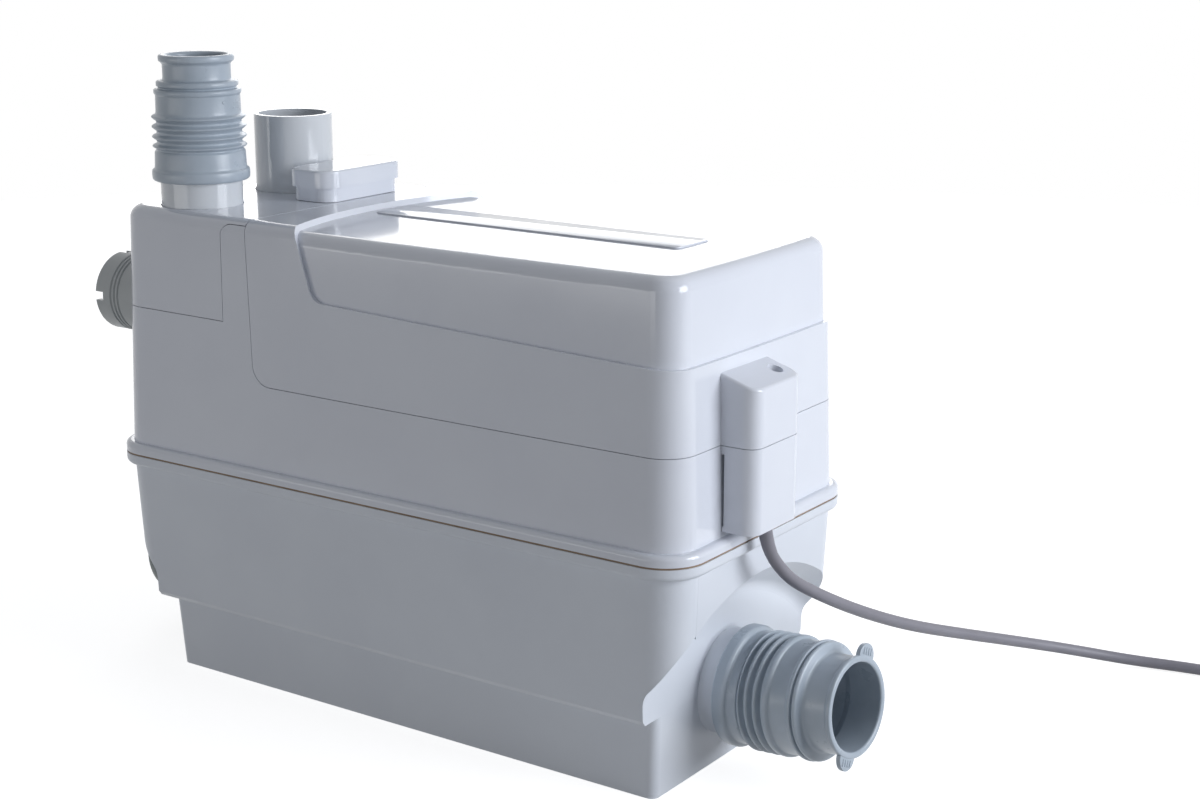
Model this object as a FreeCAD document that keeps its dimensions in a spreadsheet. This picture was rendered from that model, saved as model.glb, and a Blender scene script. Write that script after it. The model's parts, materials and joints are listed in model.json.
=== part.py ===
import FreeCAD, Part
import math
import os

import Sketcher

# Grey-water lifting station: a moulded tank on a hollow foot, an upper housing with a lift-off cover,
# low side inlets, a plain upper inlet, a ribbed discharge sleeve and the pump set inside.
# Millimetres. The origin is on the underside, below the middle of the flange; +X points to the end
# with the mains cord, the long front side faces -Y and +Z is up.

V = FreeCAD.Vector
os.makedirs("parts", exist_ok=True)
doc = FreeCAD.newDocument("LiftingStation")
sheet = doc.addObject("Spreadsheet::Sheet", "Sizes")
kept = []


class Size:
    """A length with its value and the expression that ties it to the sheet."""

    def __init__(self, value, text):
        self.value = float(value)
        self.text = text

    def __add__(self, other):
        other = as_size(other)
        return Size(self.value + other.value, f"({self.text} + {other.text})")

    def __radd__(self, other):
        return as_size(other) + self

    def __sub__(self, other):
        other = as_size(other)
        return Size(self.value - other.value, f"({self.text} - {other.text})")

    def __rsub__(self, other):
        return as_size(other) - self

    def __mul__(self, other):
        other = as_size(other)
        return Size(self.value * other.value, f"({self.text} * {other.text})")

    def __rmul__(self, other):
        return as_size(other) * self

    def __truediv__(self, other):
        other = as_size(other)
        return Size(self.value / other.value, f"({self.text} / {other.text})")

    def __neg__(self):
        return Size(-self.value, f"(0 - {self.text})")

    def __float__(self):
        return self.value


def as_size(number):
    return number if isinstance(number, Size) else Size(number, repr(float(number)))


def size(alias, value, note):
    """Write one driving dimension into the sheet and hand it back."""
    row = size.next_row
    size.next_row += 1
    sheet.set(f"A{row}", note)
    sheet.set(f"B{row}", str(value))
    sheet.setAlias(f"B{row}", alias)
    return Size(value, f"Sizes.{alias}")


size.next_row = 1

# Flange and shells
flange_length = size("flange_length", 430, "flange end to end")
flange_width = size("flange_width", 192, "flange front to back")
left_end, right_end = -(flange_length / 2), flange_length / 2
front_side, back_side = -(flange_width / 2), flange_width / 2
flange_corner = size("flange_corner", 25, "plan radius of the flange corners")
flange_lip = size("flange_lip", 5, "flange beyond the walls")
seam_level = size("seam_level", 145, "middle of the seal between the shells")
seal_thickness = size("seal_thickness", 1.2, "seal line between the flanges")
seal_set_back = size("seal_set_back", 0.6, "seal edge inside the flange edge")
seal_width = size("seal_width", 7, "width of the seal ring")
upper_bead = size("upper_bead", 6.2, "height of the upper flange bead")
lower_bead = size("lower_bead", 7, "height of the lower flange bead")
bead_rounding = size("bead_rounding", 3, "rounded edges of both beads")
shell_wall = size("shell_wall", 3, "moulded wall thickness")
wall_corner = size("wall_corner", 20, "plan radius of the wall corners at the seam")
top_level = size("top_level", 302, "top platform above the floor")
top_corner = size("top_corner", 18, "plan radius of the wall corners at the top")
top_inset = size("top_inset", 5.2, "how far the upper walls lean in up to the top")
top_bow_side = size("top_bow_side", 4, "outward bow of the long walls at the top")
top_bow_end = size("top_bow_end", 2, "outward bow of the end walls at the top")
seam_bow = size("seam_bow", 0.4, "outward bow of the walls at the seam")
top_rounding = size("top_rounding", 8, "rounded top edge of the housing")
deck_thickness = size("deck_thickness", 4, "floor of the dry compartment")
cover_gap = size("cover_gap", 0.4, "gap along the edges of the covers")

# Tank and foot
ledge_level = size("ledge_level", 50, "underside of the tank walls above the floor")
tank_inset = size("tank_inset", 4, "how far the tank walls lean in down to the ledge")
ledge_corner = size("ledge_corner", 18, "plan radius of the tank corners at the ledge")
ledge_rounding = size("ledge_rounding", 3, "rounded lower edge of the tank walls")
foot_end_inset = size("foot_end_inset", 28, "foot and recess face in from the flange's ends")
foot_side_inset = size("foot_side_inset", 22, "foot in from the flange's long sides")
foot_draft = size("foot_draft", 2.6, "how far the foot walls lean in down to the floor")
foot_corner = size("foot_corner", 5, "plan radius of the foot corners")
foot_wall = size("foot_wall", 3.5, "wall and floor of the foot")
recess_axis_level = size("recess_axis_level", -22, "height of the end recess's cone axis")
recess_radius = size("recess_radius", 125, "cone radius at the recess face")
recess_flare = size("recess_flare", 17, "growth of the cone radius out to the end wall")
recess_blend = size("recess_blend", 9, "soft inner edge of the end recess")
inlet_level = size("inlet_level", 49, "axis of the low inlets above the floor")
inlet_bore = size("inlet_bore", 27.5, "bore radius of the low inlet spigots")
inlet_spigot_radius = size("inlet_spigot_radius", 31, "outer radius of the low inlet spigots")
inlet_spigot_length = size("inlet_spigot_length", 24, "low inlet spigots out from the recess face")

# Hood and covers
hood_depth = size("hood_depth", 2.5, "hood set back from the surface around it")
hood_top_drop = size("hood_top_drop", 3.5, "hood top below the platform")
hood_line_left = top_level - size("hood_drop_left", 42.5, "hood's line below the platform, left end")
hood_line_right = top_level - size("hood_drop_right", 52, "hood's line below the platform, right end")
hood_left_top = left_end + size("hood_from_left_top", 158, "hood's left edge at the top from the left end")
hood_left_low = left_end + size("hood_from_left_low", 172, "hood's left edge at its line from the left end")
hood_left_mid = left_end + size("hood_from_left_mid", 141, "hood's left edge at mid width from the left end")
hood_corner = size("hood_corner", 9, "radius between the hood's left and lower edges")
cover_level = top_level - size("cover_drop", 98.5, "access cover's lower edge below the platform")
cover_left_top = left_end + size("cover_from_left_top", 119.5, "cover's left edge at the top from the left end")
cover_left_low = left_end + size("cover_from_left_low", 123.5, "cover's left edge at its foot from left")
cover_corner = size("cover_corner", 13, "radius of the access cover's lower left corner")
patch_level = top_level - size("patch_drop", 62.5, "discharge cover's lower edge below the platform")
patch_right = left_end + size("patch_from_left", 99, "discharge cover's right edge from the left flange end")
patch_corner = size("patch_corner", 8, "radius where the discharge cover's edge turns on top")

# End box, its screw and the mains cord
box_middle = size("box_middle", -21, "middle of the end box across the end wall")
box_width = size("box_width", 50, "width of the end box")
box_front = right_end + size("box_stand", 15.5, "end box's outer face beyond the flange end")
box_corner = size("box_corner", 8, "radius of the end box's outer corners")
box_wall = size("box_wall", 2.5, "wall of the end box")
box_root = right_end - size("box_root_inset", 19, "start of the end box's sides inside the end wall")
box_top = top_level - size("box_drop", 58, "end box's top at the wall below the platform")
box_slope = size("box_slope", 8, "fall of the end box's top out to its front")
box_low = seam_level + size("box_rise", 10, "end box's underside above the seam")
box_slot = size("box_slot", 1.2, "open slot between the cord cover's near side and the wall")
screw_across = right_end + size("screw_stand", 4, "cover screw beyond the flange end")
screw_aside = size("screw_aside", -7, "cover screw from the middle, crossways")
screw_well = size("screw_well", 4.5, "radius of the well above the cover screw")
screw_seat = cover_level + size("screw_seat_rise", 12.5, "seat of the cover screw above the cover's lower edge")
screw_shank = size("screw_shank", 2, "radius of the cover screw's shank")
screw_head = size("screw_head", 3.8, "radius of the cover screw's head")
screw_end = cover_level - size("screw_reach", 23.5, "lower end of the cover screw below the cover's edge")
screw_fit = size("screw_fit", 0.1, "radial clearance of a screw in its boss")
boss_radius = size("boss_radius", 4.4, "radius of the screw boss")
cord_radius = size("cord_radius", 3.5, "radius of the mains cord")
cord_across = right_end + size("cord_stand", 8.8, "cord's exit beyond the flange end")
cord_aside = size("cord_aside", -24.4, "cord's exit from the middle, crossways")
cord_hole_fit = size("cord_hole_fit", 0.5, "radial clearance of the cord in the end box's floor")

# Discharge valve, side port and discharge connector
valve_across = left_end + size("valve_from_left", 50.5, "discharge axis from the left flange end")
valve_aside = front_side + size("valve_from_front", 42, "discharge axis from the flange's front side")
spigot_radius = size("spigot_radius", 25, "outer radius of the white spigots")
spigot_wall = size("spigot_wall", 3, "wall of the white spigots")
spigot_top = top_level + size("spigot_rise", 30, "discharge spigot above the platform")
port_level = top_level - size("port_drop", 62.5, "axis of the side port below the platform")
valve_floor = port_level - size("valve_depth", 49.5, "underside of the valve chamber below the side port")
valve_inlet = size("valve_inlet", 10.5, "radius of the valve's inlet hole")
valve_socket = size("valve_socket", 14, "depth of the socket for the riser")
seat_height = size("seat_height", 1.8, "raised seat ring above the chamber floor")
hole_clearance = size("hole_clearance", 0.5, "radial gap of a cover round a pipe")
port_end = left_end - size("port_stand", 24, "side port's outer end beyond the flange end")
port_bore = size("port_bore", 20.9, "bore radius of the side port")
port_inner_end = left_end + size("port_inset", 22, "side port's inner end from the flange end")
branch_radius = size("branch_radius", 20.8, "outer radius of the valve chamber's branch")
branch_bore = size("branch_bore", 18, "bore radius of the branch")
branch_end = left_end - size("branch_stand", 7, "closed end of the branch beyond the flange end")
port_slot_width = size("port_slot_width", 5.5, "slots in the side port's rim")
port_slot_depth = size("port_slot_depth", 6.5, "depth of the rim slots")
port_groove = size("port_groove", 0.9, "depth of the thread grooves")
port_pitch = size("port_pitch", 3.2, "pitch of the thread grooves")
port_plain = size("port_plain", 12.5, "plain rim of the side port before its thread grooves")
flap_radius = size("flap_radius", 14.5, "radius of the valve flap")
flap_thickness = size("flap_thickness", 2.5, "thickness of the flaps")
flap_gap = size("flap_gap", 0.3, "flaps clear of their seats")
pin_radius = size("pin_radius", 1.5, "radius of the flap pins")
pin_fit = size("pin_fit", 0.05, "radial clearance of a flap on its pin")
valve_pin_offset = size("valve_pin_offset", 17.6, "valve pin from the discharge axis")
knuckle_radius = size("knuckle_radius", 3, "radius of the flap knuckles")
knuckle_half = size("knuckle_half", 5, "half length of the valve flap's knuckle")
sleeve_fit = size("sleeve_fit", 0.05, "radial clearance of a rubber sleeve on its spigot")

# Upper inlet and vent filter
stub_across = left_end + size("stub_from_left", 52, "upper inlet's axis from the left flange end")
stub_aside = back_side - size("stub_from_back", 68, "upper inlet's axis from the flange's back side")
stub_top = top_level + size("stub_rise", 49, "upper inlet pipe above the platform")
stub_low = seam_level - size("stub_drop", 13, "upper inlet pipe's lower end below the seam")
vent_across = left_end + size("vent_from_left", 100, "vent filter from the left flange end")
vent_aside = back_side - size("vent_from_back", 72.5, "vent filter from the flange's back side")
vent_half_x = size("vent_half_x", 18.5, "half length of the filter lid")
vent_half_y = size("vent_half_y", 37, "half width of the filter lid")
vent_corner = size("vent_corner", 12, "plan radius of the filter lid")
vent_top = top_level + size("vent_rise", 20, "top of the filter lid above the platform")
vent_lid_low = top_level + size("vent_lid_rise", 9, "lower edge of the filter lid above the platform")
vent_step = size("vent_step", 2.2, "tray edge inside the lid edge")
vent_wall = size("vent_wall", 2, "wall of the tray and the lid")
vent_well = top_level - size("vent_well_drop", 14, "underside of the filter tray's well below the platform")
vent_pipe_radius = size("vent_pipe_radius", 7, "outer radius of the vent pipe")
vent_lift = size("vent_lift", 0.3, "parts that only rest on each other, gap between them")

# Motor and pump
motor_across = right_end - size("motor_from_right", 145, "motor axis from the right flange end")
motor_aside = front_side + size("motor_from_front", 84, "motor axis from the flange's front side")
deck_opening = size("deck_opening", 50, "radius of the deck's opening for the pump")
plate_radius = size("plate_radius", 66, "radius of the motor plate")
plate_thickness = size("plate_thickness", 6, "thickness of the motor plate")
plate_seal_height = size("plate_seal_height", 1.5, "height of the seal under the motor plate")
plate_screw_circle = size("plate_screw_circle", 61, "radius of the motor plate's screw circle")
plate_screw_radius = size("plate_screw_radius", 2, "radius of the small screws")
motor_radius = size("motor_radius", 54, "outer radius of the motor housing")
motor_wall = size("motor_wall", 2.5, "wall of the motor housing")
motor_top = top_level - size("motor_drop", 46, "top of the motor housing below the platform")
cap_thickness = size("cap_thickness", 5, "thickness of the motor cap")
rib_count = size("rib_count", 16, "cooling ribs of the motor housing")
rib_depth = size("rib_depth", 2, "how far the cooling ribs stand out")
stator_low = seam_level + size("stator_rise", 39, "lower face of the stator above the seam")
stator_height = size("stator_height", 46, "height of the stator core")
stator_bore = size("stator_bore", 27.4, "bore radius of the stator")
rotor_radius = size("rotor_radius", 27, "radius of the rotor")
winding_height = size("winding_height", 13, "end turns beyond the stator core")
shaft_radius = size("shaft_radius", 6, "radius of the motor shaft")
bearing_radius = size("bearing_radius", 16, "outer radius of the bearings")
bearing_width = size("bearing_width", 10, "width of the bearings")
bearing_inner = size("bearing_inner", 9, "outer radius of the inner bearing rings")
bearing_outer = size("bearing_outer", 9.1, "inner radius of the outer bearing rings")
column_radius = size("column_radius", 32.5, "outer radius of the pump column")
column_wall = size("column_wall", 4, "wall of the pump column")
casing_low = size("casing_low", 34, "underside of the pump casing")
casing_height = size("casing_height", 28, "height of the pump casing")
casing_wall = size("casing_wall", 3, "wall of the pump casing")
casing_floor = size("casing_floor", 4, "thickness of the pump casing's floor and flange")
volute_start = size("volute_start", 38, "volute's outer radius where it starts")
volute_growth = size("volute_growth", 3, "growth of the volute's radius each quarter turn")
impeller_radius = size("impeller_radius", 32, "radius of the impeller")
impeller_low = size("impeller_low", 39, "lower edge of the impeller's vanes")
impeller_height = size("impeller_height", 15.5, "height of the impeller")
impeller_plate = size("impeller_plate", 3, "thickness of the impeller's back plate")
vane_count = size("vane_count", 6, "vanes of the impeller")
vane_thickness = size("vane_thickness", 2.4, "thickness of a vane")
eye_radius = size("eye_radius", 15, "radius of the pump's inlet eye")
riser_radius = size("riser_radius", 13, "outer radius of the riser")
riser_wall = size("riser_wall", 2.5, "wall of the riser")
riser_level = size("riser_level", 50, "axis of the riser's lower run above the floor")
riser_knee = size("riser_knee", 30, "bend radius of the riser")
riser_turn = valve_across + size("riser_run", 52.5, "riser's lower bend from the discharge axis")
riser_rise = seam_level - size("riser_drop", 37, "riser's upper bend below the seam")

# Level sensing and electrics
tube_across = motor_across - size("tube_from_motor", 62, "level tube from the motor axis")
tube_aside = back_side - size("tube_from_back", 38, "level tube from the flange's back side")
tube_radius = size("tube_radius", 6, "outer radius of the level tube")
tube_low = size("tube_low", 22, "open lower end of the level tube")
switch_radius = size("switch_radius", 19, "radius of the pressure switch")
switch_height = size("switch_height", 22, "height of the pressure switch")
control_left = vent_across + size("control_gap_vent", 23, "control box from the vent filter's axis")
control_right = motor_across - size("control_gap_motor", 86, "control box from the motor axis")
control_across = (control_left + control_right) / 2
control_half_x = (control_right - control_left) / 2
control_aside = back_side - size("control_from_back", 54, "control box's middle from the back side")
control_half_y = size("control_half_y", 30, "half width of the control box")
control_height = size("control_height", 34, "height of the control box")
capacitor_across = motor_across - size("capacitor_from_motor", 110, "capacitor from the motor axis")
capacitor_aside = front_side + size("capacitor_from_front", 50, "capacitor from the flange's front side")
capacitor_radius = size("capacitor_radius", 18, "radius of the run capacitor")
capacitor_height = size("capacitor_height", 66, "height of the run capacitor")

# Smaller pieces
stub_stop = top_level + size("stub_stop_rise", 2, "depth stop of the upper inlet's fitting above the platform")
stub_step = size("stub_step", 0.5, "how far the depth stop stands out")
frame_width = size("frame_width", 34, "plain frame on the hood, crossways")
frame_left = hood_left_mid + size("frame_gap_left", 8, "frame from the hood's left edge")
frame_right = right_end - size("frame_gap_right", 60, "frame from the right flange end")
frame_across = (frame_left + frame_right) / 2
frame_length = frame_right - frame_left
frame_aside = size("frame_aside", 11, "middle of the frame, crossways")
frame_corner = size("frame_corner", 4, "plan radius of the frame")
frame_groove = size("frame_groove", 1.2, "width of the frame's groove")
box_edge = size("box_edge", 2, "rounded top edges of the end box")
frame_depth = size("frame_depth", 0.8, "depth of the frame's groove")
patch_top_wall = size("patch_top_wall", 3.1, "height of the discharge cover's edge under the top")
cord_cover_gap = size("cord_cover_gap", 0.3, "gap between the cord cover and the end wall")
boss_web = size("boss_web", 3, "web between the screw boss and the end wall")
boss_clear = size("boss_clear", 1.5, "screw boss above the cord clamp")
screw_head_height = size("screw_head_height", 2.6, "height of the cover screw's head")
gland_radius = size("gland_radius", 6.5, "outer radius of the cord gland")
gland_height = size("gland_height", 3.5, "height of the cord gland")
clamp_level = box_low + size("clamp_rise", 6.2, "cord clamp above the end box's underside")
clamp_height = size("clamp_height", 6.6, "height of the cord clamp")
clamp_depth = size("clamp_depth", 8.5, "cord clamp from the front wall inwards")
clamp_half = size("clamp_half", 9.5, "half length of the cord clamp")
clamp_screw_radius = size("clamp_screw_radius", 1.25, "radius of the clamp screws")
clamp_screw_spread = size("clamp_screw_spread", 6.7, "clamp screws beside the cord")
small_screw = size("small_screw", 1.5, "radius of the casing screws")
sleeve_low = top_level + size("sleeve_rise", 15.5, "discharge sleeve's lower edge above the platform")
sleeve_profile_top = size("sleeve_profile_top", 76.5, "height of the discharge sleeve")
sleeve_foot = size("sleeve_foot", 29, "radius of the discharge sleeve's lower edge")
sleeve_bead = size("sleeve_bead", 29.9, "radius of the discharge sleeve's clamp bead")
sleeve_body = size("sleeve_body", 28, "radius of the discharge sleeve above its bead")
sleeve_neck = size("sleeve_neck", 25.7, "radius of the discharge sleeve's valleys and neck")
sleeve_rib = size("sleeve_rib", 28.8, "radius of the discharge sleeve's ribs")
sleeve_tube = size("sleeve_tube", 20.7, "radius of the discharge sleeve's outlet tube")
sleeve_lip = size("sleeve_lip", 23, "radius of the discharge sleeve's lip")
discharge_bore = size("discharge_bore", 18, "bore radius of the discharge sleeve's outlet")
collar_radius = size("collar_radius", 35.5, "collar radius of the low rubber connectors")
inlet_body = size("inlet_body", 32.8, "body radius of the low rubber connectors")
inlet_valley = size("inlet_valley", 30.5, "valley radius of the low rubber connectors")
inlet_rib = size("inlet_rib", 35, "rib radius of the low rubber connectors")
inlet_mouth = size("inlet_mouth", 27.6, "outer radius of the inlet connector's mouth")
mouth_bore = size("mouth_bore", 25, "bore radius of the inlet connector's mouth")
mouth_end = size("mouth_end", 60, "inlet connector's mouth from its bend")
mouth_pivot = size("mouth_pivot", 28, "inlet connector's bend from the recess face")
mouth_yaw = size("mouth_yaw", 4.5, "inlet connector's turn towards the front, degrees")
mouth_rise = size("mouth_rise", 5, "inlet connector's turn upwards, degrees")
tab_turn = size("tab_turn", 25, "pull tabs from the upright, degrees")
tab_radius = size("tab_radius", 5, "radius of the pull tabs")
tab_thickness = size("tab_thickness", 3.5, "thickness of the pull tabs")
inlet_flap_radius = size("inlet_flap_radius", 30, "radius of the inlet flaps")
ear_above = size("ear_above", 5, "flap ears above the pin")
ear_below = size("ear_below", 4, "flap ears below the pin")
pin_clear = size("pin_clear", 0.25, "flap pin inside the flap's middle plane")
well_half_x = size("well_half_x", 14.8, "half length of the filter tray's well")
well_half_y = size("well_half_y", 29.3, "half width of the filter tray's well")
well_corner = size("well_corner", 6, "plan radius of the filter tray's well")
plug_low = top_level + size("plug_rise", 5, "lower edge of the filter lid's plug rim above the platform")
lid_rounding = size("lid_rounding", 1.5, "rounded top edge of the filter lid")
vent_pipe_low = seam_level - size("vent_pipe_drop", 3, "vent pipe's lower end below the seam")
plate_screw_count = size("plate_screw_count", 6, "screws of the motor plate")
plate_screw_end = seam_level + size("plate_screw_rise", 1.2, "end of the plate's screw holes above the seam")
casing_flange = size("casing_flange", 48, "radius of the pump casing's flange")
casing_mouth = size("casing_mouth", 36, "radius of the pump casing's lower opening")
casing_outlet_end = motor_across - size("casing_outlet_reach", 50, "end of the outlet from the motor axis")
riser_insert = size("riser_insert", 14, "depth of the riser in the casing's outlet")
casing_screw_circle = size("casing_screw_circle", 42, "radius of the casing's screw circle")
casing_screw_count = size("casing_screw_count", 6, "screws of the suction cover")
cover_thickness = size("cover_thickness", 3.5, "thickness of the suction cover")
seal_radius = size("seal_radius", 12, "outer radius of the shaft seal")
seal_width_up = size("seal_width_up", 9, "height of the shaft seal")
nut_height = size("nut_height", 4.5, "height of the impeller nut")
tie_radius = size("tie_radius", 1.75, "radius of the motor's long screws")
tie_circle = size("tie_circle", 48.5, "radius of the long screws' circle")
tie_count = size("tie_count", 4, "long screws of the motor")
rib_half = size("rib_half", 1.5, "half thickness of a cooling rib")
tube_wall = size("tube_wall", 1.5, "wall of the level tube")
tube_insert = size("tube_insert", 9, "depth of the level tube in the pressure switch")
control_corner = size("control_corner", 4, "plan radius of the control box")
board_gap = size("board_gap", 1, "control board clear of its box")
board_thickness = size("board_thickness", 1.6, "thickness of the control board")
clip_height = size("clip_height", 18, "height of the capacitor's holder")
coil_across = size("coil_across", 495.3, "cord coil from the middle, lengthways")
coil_aside = size("coil_aside", 222.8, "cord coil from the middle, crossways")
coil_radius = size("coil_radius", 39, "mean radius of the cord coil")
coil_section = size("coil_section", 7.5, "radius of the coil's bundle of turns")
plug_radius = size("plug_radius", 19, "radius of the mains plug")
plug_length = size("plug_length", 50, "length of the mains plug's body")
pin_length = size("pin_length", 19, "length of the plug's pins")
pin_spread = size("pin_spread", 9.5, "plug pins from the plug's axis")
plug_pin_radius = size("plug_pin_radius", 2.4, "radius of the plug's pins")


def bind(thing, name, length):
    thing.setExpression(name, length.text)


def new_body(label):
    body = doc.addObject("PartDesign::Body", label)
    body.Label = label
    return body


def origin_plane(body, role):
    for feature in body.Origin.OriginFeatures:
        if feature.Role == role:
            return feature
    raise ValueError(role)


def new_sketch(body, name, plane, level=0):
    """A sketch on one of the body's own planes, moved along the plane's normal."""
    sketch = body.newObject("Sketcher::SketchObject", name)
    sketch.AttachmentSupport = [(origin_plane(body, plane), "")]
    sketch.MapMode = "FlatFace"
    if isinstance(level, Size):
        bind(sketch, "AttachmentOffset.Base.z", level)
        doc.recompute([sketch])
    elif level:
        raise ValueError("a level comes from the sheet")
    return sketch


def hold(sketch, kind, length, *where):
    """Add a dimension to a sketch and tie it to the sheet."""
    index = sketch.addConstraint(Sketcher.Constraint(kind, *where, length.value))
    sketch.setExpression(f"Constraints[{index}]", length.text)


def hold_point(sketch, geometry, end, across, up):
    """Place a point of a sketch by its two distances from the sketch's origin."""
    across, up = as_size(across), as_size(up)
    if across.text == "0.0":
        sketch.addConstraint(Sketcher.Constraint("PointOnObject", geometry, end, -2))
    else:
        hold(sketch, "DistanceX", across, -1, 1, geometry, end)
    if up.text == "0.0":
        sketch.addConstraint(Sketcher.Constraint("PointOnObject", geometry, end, -1))
    else:
        hold(sketch, "DistanceY", up, -1, 1, geometry, end)


def lines(sketch, corners):
    """A closed outline of straight lines through the corners."""
    corners = [(as_size(x), as_size(y)) for x, y in corners]
    first = sketch.GeometryCount
    count = len(corners)
    for i in range(count):
        start, end = corners[i], corners[(i + 1) % count]
        line = Part.LineSegment(V(start[0].value, start[1].value, 0), V(end[0].value, end[1].value, 0))
        sketch.addGeometry(line, False)
    for i in range(count):
        following = first + (i + 1) % count
        sketch.addConstraint(Sketcher.Constraint("Coincident", first + i, 2, following, 1))
    for i, (across, up) in enumerate(corners):
        hold_point(sketch, first + i, 1, across, up)


def circle(sketch, across, up, radius):
    across, up, radius = as_size(across), as_size(up), as_size(radius)
    index = sketch.addGeometry(Part.Circle(V(across.value, up.value, 0), V(0, 0, 1), radius.value), False)
    hold_point(sketch, index, 3, across, up)
    hold(sketch, "Radius", radius, index)


def meeting_point(first, first_radius, second, second_radius, near):
    """The point at both given distances from two centres, on the side of a third point."""
    apart = second - first
    distance = apart.Length
    along = (first_radius**2 - second_radius**2 + distance**2) / (2 * distance)
    aside = math.sqrt(max(first_radius**2 - along**2, 0))
    foot = first + apart * (along / distance)
    side = V(-apart.y, apart.x, 0) * (aside / distance)
    return min((foot + side, foot - side), key=lambda p: (p - near).Length)


def bowed_plan(sketch, half_x, half_y, corner, bow_x, bow_y):
    """A rounded rectangle whose four sides bow outwards, as eight tangent arcs.

    bow_y is the bow of the two long sides, bow_x that of the two ends.
    """
    side_radius = (half_x * half_x + bow_y * bow_y) / (2 * bow_y)
    end_radius = (half_y * half_y + bow_x * bow_x) / (2 * bow_x)
    side_centre = half_y + bow_y - side_radius
    end_centre = half_x + bow_x - end_radius
    rs, re, rc = side_radius.value, end_radius.value, corner.value
    reach_y, reach_x = side_centre.value, end_centre.value
    outer = V(half_x.value, half_y.value, 0)
    fillet = meeting_point(V(0, reach_y, 0), rs - rc, V(reach_x, 0, 0), re - rc, outer)
    to_side = math.atan2(fillet.y - reach_y, fillet.x)
    to_end = math.atan2(fillet.y, fillet.x - reach_x)

    def arc(centre, radius, start, end):
        return sketch.addGeometry(Part.ArcOfCircle(Part.Circle(centre, V(0, 0, 1), radius), start, end), False)

    # counter-clockwise from the right end wall
    turn = math.pi
    chain = [
        arc(V(reach_x, 0, 0), re, -to_end, to_end),
        arc(V(fillet.x, fillet.y, 0), rc, to_end, to_side),
        arc(V(0, reach_y, 0), rs, to_side, turn - to_side),
        arc(V(-fillet.x, fillet.y, 0), rc, turn - to_side, turn - to_end),
        arc(V(-reach_x, 0, 0), re, turn - to_end, turn + to_end),
        arc(V(-fillet.x, -fillet.y, 0), rc, turn + to_end, turn + to_side),
        arc(V(0, -reach_y, 0), rs, turn + to_side, 2 * turn - to_side),
        arc(V(fillet.x, -fillet.y, 0), rc, 2 * turn - to_side, 2 * turn - to_end),
    ]
    for i in range(8):
        sketch.addConstraint(Sketcher.Constraint("Tangent", chain[i], 2, chain[(i + 1) % 8], 1))
    for i in (1, 3, 5, 7):
        hold(sketch, "Radius", corner, chain[i])
    for i, sign in ((2, 1), (6, -1)):
        hold(sketch, "Radius", side_radius, chain[i])
        hold_point(sketch, chain[i], 3, 0, side_centre * sign)
    for i, sign in ((0, 1), (4, -1)):
        hold(sketch, "Radius", end_radius, chain[i])
        hold_point(sketch, chain[i], 3, end_centre * sign, 0)


def rounded_rectangle(sketch, across, up, half_x, half_y, corner):
    """A rounded rectangle about the given centre."""
    across, up = as_size(across), as_size(up)
    left, right, low, high = across - half_x, across + half_x, up - half_y, up + half_y
    quarter = math.pi / 2

    def line(x1, y1, x2, y2):
        ends = V(x1.value, y1.value, 0), V(x2.value, y2.value, 0)
        return sketch.addGeometry(Part.LineSegment(*ends), False)

    def arc(x, y, start):
        ring = Part.Circle(V(x.value, y.value, 0), V(0, 0, 1), corner.value)
        return sketch.addGeometry(Part.ArcOfCircle(ring, start, start + quarter), False)

    chain = [
        line(left + corner, low, right - corner, low),
        arc(right - corner, low + corner, -quarter),
        line(right, low + corner, right, high - corner),
        arc(right - corner, high - corner, 0),
        line(right - corner, high, left + corner, high),
        arc(left + corner, high - corner, quarter),
        line(left, high - corner, left, low + corner),
        arc(left + corner, low + corner, 2 * quarter),
    ]
    for i in range(8):
        sketch.addConstraint(Sketcher.Constraint("Tangent", chain[i], 2, chain[(i + 1) % 8], 1))
    for i, (x, y) in ((1, (right, low)), (3, (right, high)), (5, (left, high)), (7, (left, low))):
        inward_x, inward_y = (-1 if x is right else 1), (-1 if y is high else 1)
        hold_point(sketch, chain[i], 3, x + corner * inward_x, y + corner * inward_y)
    hold(sketch, "Radius", corner, chain[1])
    for i in (3, 5, 7):
        sketch.addConstraint(Sketcher.Constraint("Equal", chain[1], chain[i]))


def pad(body, sketch, length, name, reverse=False):
    feature = body.newObject("PartDesign::Pad", name)
    feature.Profile = sketch
    feature.Reversed = reverse
    bind(feature, "Length", as_size(length))
    doc.recompute()
    return feature


def pocket(body, sketch, length, name, reverse=False, both_ways=False):
    feature = body.newObject("PartDesign::Pocket", name)
    feature.Profile = sketch
    feature.Reversed = reverse
    feature.Midplane = both_ways
    before = body.Shape.Volume
    bind(feature, "Length", as_size(length))
    doc.recompute()
    if not body.Shape.Volume < before - 0.01:
        raise RuntimeError(f"{body.Label}: {name} cuts nothing")
    return feature


def revolve(body, sketch, axis, name, cuts=False):
    feature = body.newObject("PartDesign::Groove" if cuts else "PartDesign::Revolution", name)
    feature.Profile = sketch
    feature.ReferenceAxis = (sketch, [axis])
    feature.Angle = 360
    doc.recompute()
    return feature


def loft(body, sections, name):
    feature = body.newObject("PartDesign::AdditiveLoft", name)
    feature.Profile = sections[0]
    feature.Sections = sections[1:]
    feature.Ruled = True
    doc.recompute()
    return feature


def round_edges(body, radius, name, chosen):
    """Fillet the edges of the body's tip that the given test picks."""
    tip = body.Tip
    names = [f"Edge{i + 1}" for i, edge in enumerate(tip.Shape.Edges) if chosen(edge)]
    if not names:
        raise RuntimeError(f"{body.Label}: {name} finds no edge")
    feature = body.newObject("PartDesign::Fillet", name)
    feature.Base = (tip, names)
    bind(feature, "Radius", radius)
    doc.recompute()
    return feature


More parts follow.
